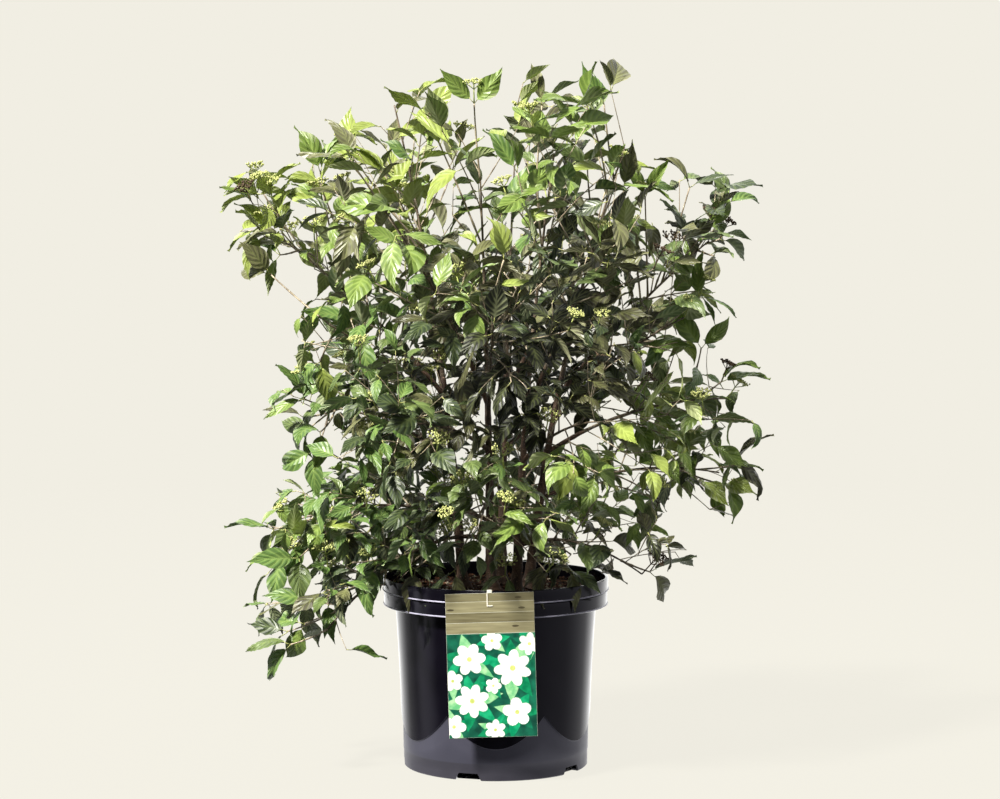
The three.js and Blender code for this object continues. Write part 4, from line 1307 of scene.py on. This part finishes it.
def pot_mesh():
    """The turned shell, with its skirt below scalloped panels that bulge a little."""
    segments = POT["segments"]
    angles = ring_angles(segments)
    edge = scallop(angles)
    lobes = np.cos(SKIRT["count"] * (angles + math.pi / 2))
    rings, finishes = [], []
    for radius, height, follow, finish in pot_rows():
        heights = height + follow * (edge - SKIRT["low"])
        if radius is None:
            reach = POT["base"] + SKIRT["taper"] * heights / SKIRT["low"]
        else:
            reach = wall_radius(heights) if follow else np.full_like(angles, radius)
        on_panels = finish == GLOSS and SKIRT["lobe_low"] < height < RIM_FOOT - 5
        if on_panels and radius > POT["base"]:
            depth = math.sin(math.pi * (height - SKIRT["lobe_low"]) / SKIRT["lobe_span"])
            reach = reach - SKIRT["lobe"] * 0.5 * (1 - lobes) * depth
        rings.append(level_ring(angles, reach, heights))
        finishes.append(finish)
    faces, ends = closed_faces(len(rings), segments)
    finish_of = np.repeat(finishes[:-1], segments)
    slots = [GLOSS, SATIN_PAINTED_REFLECTION, DARK_FOOT_PAINTED_REFLECTION, BEAD_PAINTED_HIGHLIGHT]
    groups = [faces[finish_of == finish] for finish in slots] + [ends[:1], ends[1:]]
    soup = Soup()
    soup.add(np.concatenate(rings), groups, slots + [DARK_FOOT_PAINTED_REFLECTION, GLOSS])
    return soup


def notch_cutter():
    """Tapered slots through the foot of the wall, as one mesh."""
    soup = Soup()
    half, top = NOTCH["width"] / 2, NOTCH["top"] / 2
    corners = [(-half, -1), (half, -1), (top, NOTCH["height"]), (-top, NOTCH["height"])]
    for k in range(NOTCH["count"]):
        angle = math.radians(NOTCH["first"] + 360 / NOTCH["count"] * k)
        out = np.array([math.cos(angle), math.sin(angle), 0])
        aside = np.array([-math.sin(angle), math.cos(angle), 0])
        inner, outer = POT["base"] - NOTCH["depth"], POT["base"] + 5
        points = [out * reach + aside * x + UP * z for reach in (outer, inner) for x, z in corners]
        sides = [(i, i + 4, (i + 1) % 4 + 4, (i + 1) % 4) for i in range(4)]
        soup.add(points, np.array([(0, 1, 2, 3), (7, 6, 5, 4)] + sides))
    return soup.piece("notch_cutter", [])


def cut(piece, cutter):
    """Takes the cutter's shape out of the piece, and removes the cutter."""
    modifier = piece.modifiers.new("cut", "BOOLEAN")
    modifier.operation = "DIFFERENCE"
    modifier.solver = "EXACT"
    modifier.object = cutter
    depsgraph = bpy.context.evaluated_depsgraph_get()
    solid = bpy.data.meshes.new_from_object(piece.evaluated_get(depsgraph))
    piece.modifiers.clear()
    piece.data = solid
    bpy.data.objects.remove(cutter)


def pot():
    gloss = pot_finish("pot_gloss", (6, 5, 10), (13, 11, 20), 0.1, 0.4)
    # Paler satin and foot: real matt plastic, and in part a painted reflection of the bright floor.
    satin_painted_reflection = pot_finish("pot_satin_painted_reflection", (44, 44, 54), (58, 58, 70), 0.38, 0.85)
    foot = pot_finish("pot_foot_painted_reflection", (30, 29, 36), (42, 41, 48), 0.4, 1.0)
    # The pale beads are a painted highlight along the rim.
    bead_painted_highlight = pot_finish("pot_bead_painted_highlight", (120, 118, 136), (176, 174, 192), 0.3, 0.5)
    made = pot_mesh().piece("pot_shell", [gloss, satin_painted_reflection, foot, bead_painted_highlight])
    cut(made, notch_cutter())
    made.data.set_sharp_from_angle(angle=math.radians(32))
    keep(made, "pot", "pot")


# ------------------------------------------------------------------------------------------------- soil

def peat_height(points):
    """The height of the peat's wandering top at points of the plane."""
    dice = Dice(SEEDS["soil"])
    height, total = np.zeros(len(points)), 0.0
    for octave in range(PEAT_WAVES["count"]):
        angle, phase = dice.between(0, 2 * math.pi), dice.between(0, 2 * math.pi)
        pace = PEAT_WAVES["pace"] * PEAT_WAVES["finer"] ** octave
        weight = PEAT_WAVES["weaker"] ** octave
        along = points[:, 0] * math.cos(angle) + points[:, 1] * math.sin(angle)
        height += weight * np.sin(pace * along + phase)
        total += weight
    wander = height / total * PEAT_WAVES["gain"]
    return SOIL["top"] - SOIL["settled"] + SOIL["relief"] * 0.5 * wander


def soil_bed():
    """The bed of peat: its rough top, which falls at the edge, and the plain shape that fills the pot."""
    rings, angles = SOIL["rings"], ring_angles(SOIL["segments"])
    edge = POT["rim"] - POT["lip"] - 2 * GAP
    wall, floor_height = POT["wall"] + 2 * GAP, NOTCH["height"] + 2 * GAP
    below = [(edge, SOIL["top"] - 4), (edge, RIM_FOOT + wall), (POT["top"] - wall, RIM_FOOT)]
    below += [(POT["base"] - wall, floor_height), (0.5, floor_height)]
    rows = [level_ring(angles, reach, height) for reach, height in below[::-1]]
    for k in reversed(range(rings)):
        reach = edge * (k + 0.3) / (rings - 0.7)
        row = level_ring(angles, reach, 0)
        row[:, 2] = peat_height(row) - SOIL["fall"] * (reach / edge) ** 6
        rows.append(row)
    soup = Soup()
    soup.add(np.concatenate(rows), closed_faces(len(rows), SOIL["segments"]))
    return soup


def crumb_shape(dice):
    """An uneven lump with eight faces."""
    points = np.array([(1, 0, 0), (-1, 0, 0), (0, 1, 0), (0, -1, 0), (0, 0, 1), (0, 0, -1)], float)
    points *= np.array([[dice.between(0.6, 1.2)] for _ in points])
    faces = [(0, 2, 4), (2, 1, 4), (1, 3, 4), (3, 0, 4), (2, 0, 5), (1, 2, 5), (3, 1, 5), (0, 3, 5)]
    return points, np.array(faces)


def turn_matrix(angle, first, second):
    """Turns rows of points by an angle, from the first axis towards the second."""
    matrix = np.eye(3)
    matrix[first, first] = matrix[second, second] = math.cos(angle)
    matrix[first, second], matrix[second, first] = math.sin(angle), -math.sin(angle)
    return matrix


def soil_crumbs():
    """Lumps, chips and pale grit on the peat, spread evenly by the golden angle."""
    dice = Dice(SEEDS["soil"])
    soup = Soup()
    edge = POT["rim"] - POT["lip"] - CRUMB["inset"]
    for k in range(CRUMB["count"]):
        reach = edge * math.sqrt((k + 0.5) / CRUMB["count"])
        angle = k * GOLDEN_ANGLE + dice.between(-0.2, 0.2)
        place = np.array([[reach * math.cos(angle), reach * math.sin(angle)]])
        points, faces = crumb_shape(dice)
        size = dice.between(CRUMB["least"], CRUMB["most"])
        is_chip = dice.draw() < CRUMB["chips"]
        points = points * (size * np.array(CRUMB["chip"] if is_chip else CRUMB["lump"]))
        points = points @ turn_matrix(dice.between(0, math.pi), 0, 1)
        points = points @ turn_matrix(dice.between(-CRUMB["tilt"], CRUMB["tilt"]), 1, 2)
        kind = 1 if is_chip else (2 if dice.draw() < CRUMB["grit"] else 0)
        height = peat_height(place)[0] + CRUMB["lift"] * size
        soup.add(points + [*place[0], height], faces, kind)
    return soup


def soil():
    peat = plain_finish("peat", (30, 20, 15), (74, 48, 34), 260, 0.95, 1.2)
    chip = plain_finish("bark_chip", (84, 52, 34), (140, 96, 64), 220, 0.85, 0.4)
    lump = plain_finish("peat_lump", (44, 28, 20), (96, 62, 42), 400, 0.95, 0.6)
    grit = plain_finish("pale_grit", (150, 140, 120), (196, 186, 164), 300, 0.8)
    keep(soil_bed().piece("soil_bed", [peat]), "soil", "soil")
    keep(soil_crumbs().piece("soil_crumbs", [lump, chip, grit], smooth=False), "soil")


# ------------------------------------------------------------------------------------------------ label

class Card:
    """The label's own flat frame: x to the right and z up on its face, from its bottom left corner."""

    def __init__(self):
        lean = math.radians(LABEL["lean"])
        self.right = np.array([math.cos(lean), 0, math.sin(lean)])
        self.up = np.array([-math.sin(lean), 0, math.cos(lean)])
        self.front = np.array([0, -1.0, 0])
        back = -POT["rim"] - GAP
        top_middle = np.array([LABEL["x"], back, LABEL["top"]])
        self.corner = top_middle - self.right * LABEL["width"] / 2 - self.up * LABEL["height"]

    def plate(self, soup, points, low, high, slot=0):
        """A flat plate of the outline's shape, between two heights above the card's back."""
        flat = np.array([self.corner + self.right * x + self.up * z for x, z in points])
        vertices = np.concatenate([flat + self.front * low, flat + self.front * high])
        soup.add(vertices, closed_faces(2, len(flat)), slot)


def rectangle(left, low, right, high):
    return [(left, low), (right, low), (right, high), (left, high)]


def oval(x, z, half_width, half_height, count):
    turns = np.linspace(0, 2 * math.pi, count + 1)[:-1]
    return [(x + half_width * math.cos(turn), z + half_height * math.sin(turn)) for turn in turns]


def placed_outline(points, x, z, angle):
    """An outline given along and beside its middle line, set at a place and turned."""
    cos, sin = math.cos(angle), math.sin(angle)
    return [(x + along * cos - aside * sin, z + along * sin + aside * cos) for along, aside in points]


def petal_outline(length, width):
    """A rounded petal that starts at a point."""
    points = []
    for k in range(14):
        turn = 2 * math.pi * k / 14
        along = length * (0.5 - 0.5 * math.cos(turn))
        points.append((along, 0.5 * width * math.sin(turn) * (0.75 + 0.25 * along / length)))
    return points


def blade_outline(length, width):
    """A pointed leaf."""
    shares = [0.0, 0.12, 0.3, 0.5, 0.72, 0.88, 1.0]
    halves = [0.04, 0.3, 0.48, 0.5, 0.32, 0.13, 0.0]
    side = [(length * s, width * h) for s, h in zip(shares, halves)]
    return side + [(along, -aside) for along, aside in side[-2::-1]]


def inside_picture(points):
    """The outline with what would leave the label's picture drawn in to its edge."""
    left, low, right, high = PICTURE
    return [(min(max(x, left), right), min(max(z, low), high)) for x, z in points]


def keep_flat(soup, name, materials, *nodes):
    keep(soup.piece(name, materials, smooth=False), "label", *nodes)


def label_card(card):
    """The card itself, with its tongue over the rim."""
    body = Soup()
    card.plate(body, rectangle(0, 0, LABEL["width"], LABEL["height"]), 0, FACE)
    tongue_on(body)
    paper = plain_finish("label_card", (206, 206, 190), (226, 226, 212), 60, 0.35)
    keep_flat(body, "label_card", [paper], "label")


def label_head(card):
    """A head of four printed planks with knots, and the edge of the hook that holds the card."""
    planks = Soup()
    width, height = LABEL["width"], LABEL["height"]
    for k in range(4):
        low, high = (mix(HEAD_LOW, height, share) for share in PLANKS[k:k + 2])
        plank = rectangle(MARGIN, low + 0.35, width - MARGIN, high - 0.1)
        card.plate(planks, plank, FACE, FACE + 0.12, k % 2)
    for x, share in KNOTS:
        knot = oval(x, mix(HEAD_LOW, height, share), 4.2, 1.3, 12)
        card.plate(planks, knot, FACE + 0.12, FACE + 0.16, 2)
    hook = [(50, -16), (57, -16), (57, -14.8), (51.3, -14.8), (51.3, -0.3), (50, -0.3)]
    card.plate(planks, [(x, height + z) for x, z in hook], FACE + 0.12, FACE + 0.9, 3)
    wood = [
        plank_finish("print_plank", (118, 112, 84), (150, 144, 112)),
        plank_finish("print_plank_dark", (96, 90, 66), (128, 122, 92)),
        plank_finish("print_knot", (62, 56, 40), (88, 80, 58)),
        plain_finish("label_hook", (206, 200, 184), (230, 226, 214), 60, 0.4),
    ]
    keep_flat(planks, "label_head", wood)


def label_picture(card):
    """A plain floral pattern: rosettes of petals on leaves, on a dark ground."""
    ground, leaves, petals, hearts = Soup(), Soup(), Soup(), Soup()
    card.plate(ground, rectangle(*PICTURE), FACE, FACE + 0.08)
    dice = Dice(SEEDS["label"])
    for number, (x, z, size, _) in enumerate(BLOOMS):
        for k in range(7):
            angle = k * 2 * math.pi / 7 + dice.between(-0.3, 0.3)
            blade = blade_outline(size * dice.between(1.5, 1.95), size * dice.between(0.55, 0.8))
            blade = inside_picture(placed_outline(blade, x, z, angle))
            card.plate(leaves, blade, FACE + 0.08, FACE + 0.12 + 0.01 * k, (k + number) % 4)
    for x, z, size, count in BLOOMS:
        for ring, share in enumerate((1.0, 0.64)):
            reach = size * share
            for k in range(count):
                petal = petal_outline(reach, reach * 4.4 / count)
                petal = placed_outline(petal, x, z, (k + ring * 0.5) * 2 * math.pi / count + size)
                high = FACE + 0.24 + 0.06 * ring + 0.005 * k
                card.plate(petals, inside_picture(petal), FACE + 0.16, high, ring)
        heart = oval(x, z, 0.15 * size, 0.15 * size, 10)
        card.plate(hearts, inside_picture(heart), FACE + 0.24, FACE + 0.4)
    greens = [plain_finish(f"print_leaf_{k}", *tones, 120, 0.3) for k, tones in enumerate(PRINTED_GREENS)]
    whites = [
        plain_finish("print_petal", (222, 226, 214), (250, 248, 244), 200, 0.3),
        plain_finish("print_petal_inner", (236, 236, 222), (252, 250, 240), 200, 0.3),
    ]
    dark_ground = plain_finish("print_ground", (10, 58, 46), (22, 104, 78), 70, 0.3)
    yellow = plain_finish("print_heart", (170, 186, 90), (206, 210, 128), 200, 0.3)
    keep_flat(ground, "label_ground", [dark_ground])
    keep_flat(leaves, "label_leaves", greens)
    keep_flat(petals, "label_petals", whites)
    keep_flat(hearts, "label_hearts", [yellow])


def label():
    """A card with a wood-toned head and a plain floral pattern."""
    card = Card()
    label_card(card)
    label_head(card)
    label_picture(card)


def tongue_on(soup):
    """The tongue of the same card, folded over the rim."""
    back = -POT["rim"] - GAP
    thick, drop = TONGUE["thickness"], TONGUE["drop"]
    over = POT["height"] + GAP
    inner = -POT["rim"] + POT["lip"] + TONGUE["inside"]
    profile = [
        (back - thick, LABEL["top"] - drop),
        (back, LABEL["top"] - drop),
        (back, over),
        (inner, over),
        (inner, over - drop),
        (inner + thick, over - drop),
        (inner + thick, over + thick),
        (back - thick, over + thick),
    ]
    ends = [LABEL["x"] - TONGUE["width"] / 2, LABEL["x"] + TONGUE["width"] / 2]
    vertices = [(x, y, z) for x in ends for y, z in profile]
    soup.add(vertices, closed_faces(2, len(profile)))


# ------------------------------------------------------------------------------------------------ stage

BACKDROP = (241, 238, 227)
# The studio's brightness by direction: axis, the range of the direction, and the brightness at both ends.
STUDIO = [("Z", -0.2, 0.8, 0.02, 0.54), ("Y", 0.0, 0.9, 0.0, 0.66), ("X", 0.3, 1.0, 0.0, 0.35)]
# What glossy surfaces see on top of that.
MIRRORED = [("Y", 0.6, 0.95, 0.0, 1.4), ("X", -0.93, -0.99, 0.0, 1.0), ("Z", -0.3, -0.6, 0.0, 0.8)]
SUN = dict(place=(-2100, -2000, 3600), aim=(0, 0, 450), energy=10.6, colour=(1.0, 0.97, 0.9), angle=8)
# The floor glows nearly as bright as the backdrop, and fades out between two distances in metres.
FLOOR = dict(radius=6000, sides=96, height=-0.3, tone=0.02, glow=0.965, fade=(0.7, 3.5))
CAMERA = dict(place=(5.45, -3489.09, 716.77), aim=(5.45, 0.0, 459.66), lens=100.65, sensor=36)


def aimed(thing, place, aim):
    """Puts a camera or light at a place in millimetres, looking at the aim."""
    thing.location = Vector(place) * MM
    direction = Vector(aim) * MM - thing.location
    thing.rotation_euler = direction.to_track_quat("-Z", "Y").to_euler()
    bpy.context.scene.collection.objects.link(thing)


def camera():
    data = bpy.data.cameras.new("camera")
    data.lens = CAMERA["lens"]
    data.sensor_width = CAMERA["sensor"]
    data.sensor_fit = "HORIZONTAL"
    made = bpy.data.objects.new("camera", data)
    aimed(made, CAMERA["place"], CAMERA["aim"])
    bpy.context.scene.camera = made


def sun():
    """The one lamp, high on the front left."""
    data = bpy.data.lights.new("sun", "SUN")
    data.energy, data.color, data.angle = SUN["energy"], SUN["colour"], math.radians(SUN["angle"])
    aimed(bpy.data.objects.new("sun", data), SUN["place"], SUN["aim"])


def world():
    """A plain backdrop for the camera. Other rays see a studio whose brightness depends on the direction."""
    made = bpy.data.worlds.new("studio")
    bpy.context.scene.world = made
    made.use_nodes = True
    nodes, links = made.node_tree.nodes, made.node_tree.links
    plain = nodes["Background"]
    plain.inputs["Color"].default_value = linear(BACKDROP)
    studio = nodes.new("ShaderNodeBackground")
    studio.inputs["Color"].default_value = (0.98, 0.98, 0.96, 1)
    direction = nodes.new("ShaderNodeTexCoord")
    split = nodes.new("ShaderNodeSeparateXYZ")
    links.new(direction.outputs["Generated"], split.inputs[0])
    path = nodes.new("ShaderNodeLightPath")

    def worked(operation, first, second):
        made = nodes.new("ShaderNodeMath")
        made.operation = operation
        links.new(first, made.inputs[0])
        links.new(second, made.inputs[1])
        return made.outputs[0]

    def brightness(rows):
        parts = []
        for axis, *ranges in rows:
            part = nodes.new("ShaderNodeMapRange")
            for socket, value in zip(("From Min", "From Max", "To Min", "To Max"), ranges):
                part.inputs[socket].default_value = value
            links.new(split.outputs[axis], part.inputs["Value"])
            parts.append(part.outputs["Result"])
        return functools.reduce(lambda total, part: worked("ADD", total, part), parts)

    mirrored = worked("MULTIPLY", brightness(MIRRORED), path.outputs["Is Glossy Ray"])
    links.new(worked("ADD", brightness(STUDIO), mirrored), studio.inputs["Strength"])
    both = nodes.new("ShaderNodeMixShader")
    links.new(path.outputs["Is Camera Ray"], both.inputs["Fac"])
    links.new(studio.outputs[0], both.inputs[1])
    links.new(plain.outputs[0], both.inputs[2])
    links.new(both.outputs[0], nodes["World Output"].inputs["Surface"])


def floor():
    """A pale floor that takes faint shadows and fades out into the backdrop."""
    soup = Soup()
    sides = FLOOR["sides"]
    soup.add(level_ring(ring_angles(sides), FLOOR["radius"], FLOOR["height"]), np.array([np.arange(sides)]))
    finish = Finish("floor", Roughness=1.0)
    pale = linear(BACKDROP)
    finish.shader.inputs["Specular IOR Level"].default_value = 0.0
    finish.shader.inputs["Base Color"].default_value = scaled(pale, FLOOR["tone"])
    finish.shader.inputs["Emission Color"].default_value = pale
    finish.shader.inputs["Emission Strength"].default_value = FLOOR["glow"]
    place = finish.node("ShaderNodeTexCoord")
    reach = finish.node("ShaderNodeVectorMath", operation="LENGTH")
    finish.feed(place.outputs["Object"], reach.inputs[0])
    fade = finish.ramp(reach.outputs["Value"], *FLOOR["fade"])
    finish.share_with(finish.node("ShaderNodeBsdfTransparent"), fade)
    made = soup.piece("floor", [finish.material])
    made.visible_diffuse = False
    made.visible_glossy = False


camera()
sun()
world()
floor()
pot()
soil()
label()
plant()

bpy.context.scene.view_settings.view_transform = "Standard"
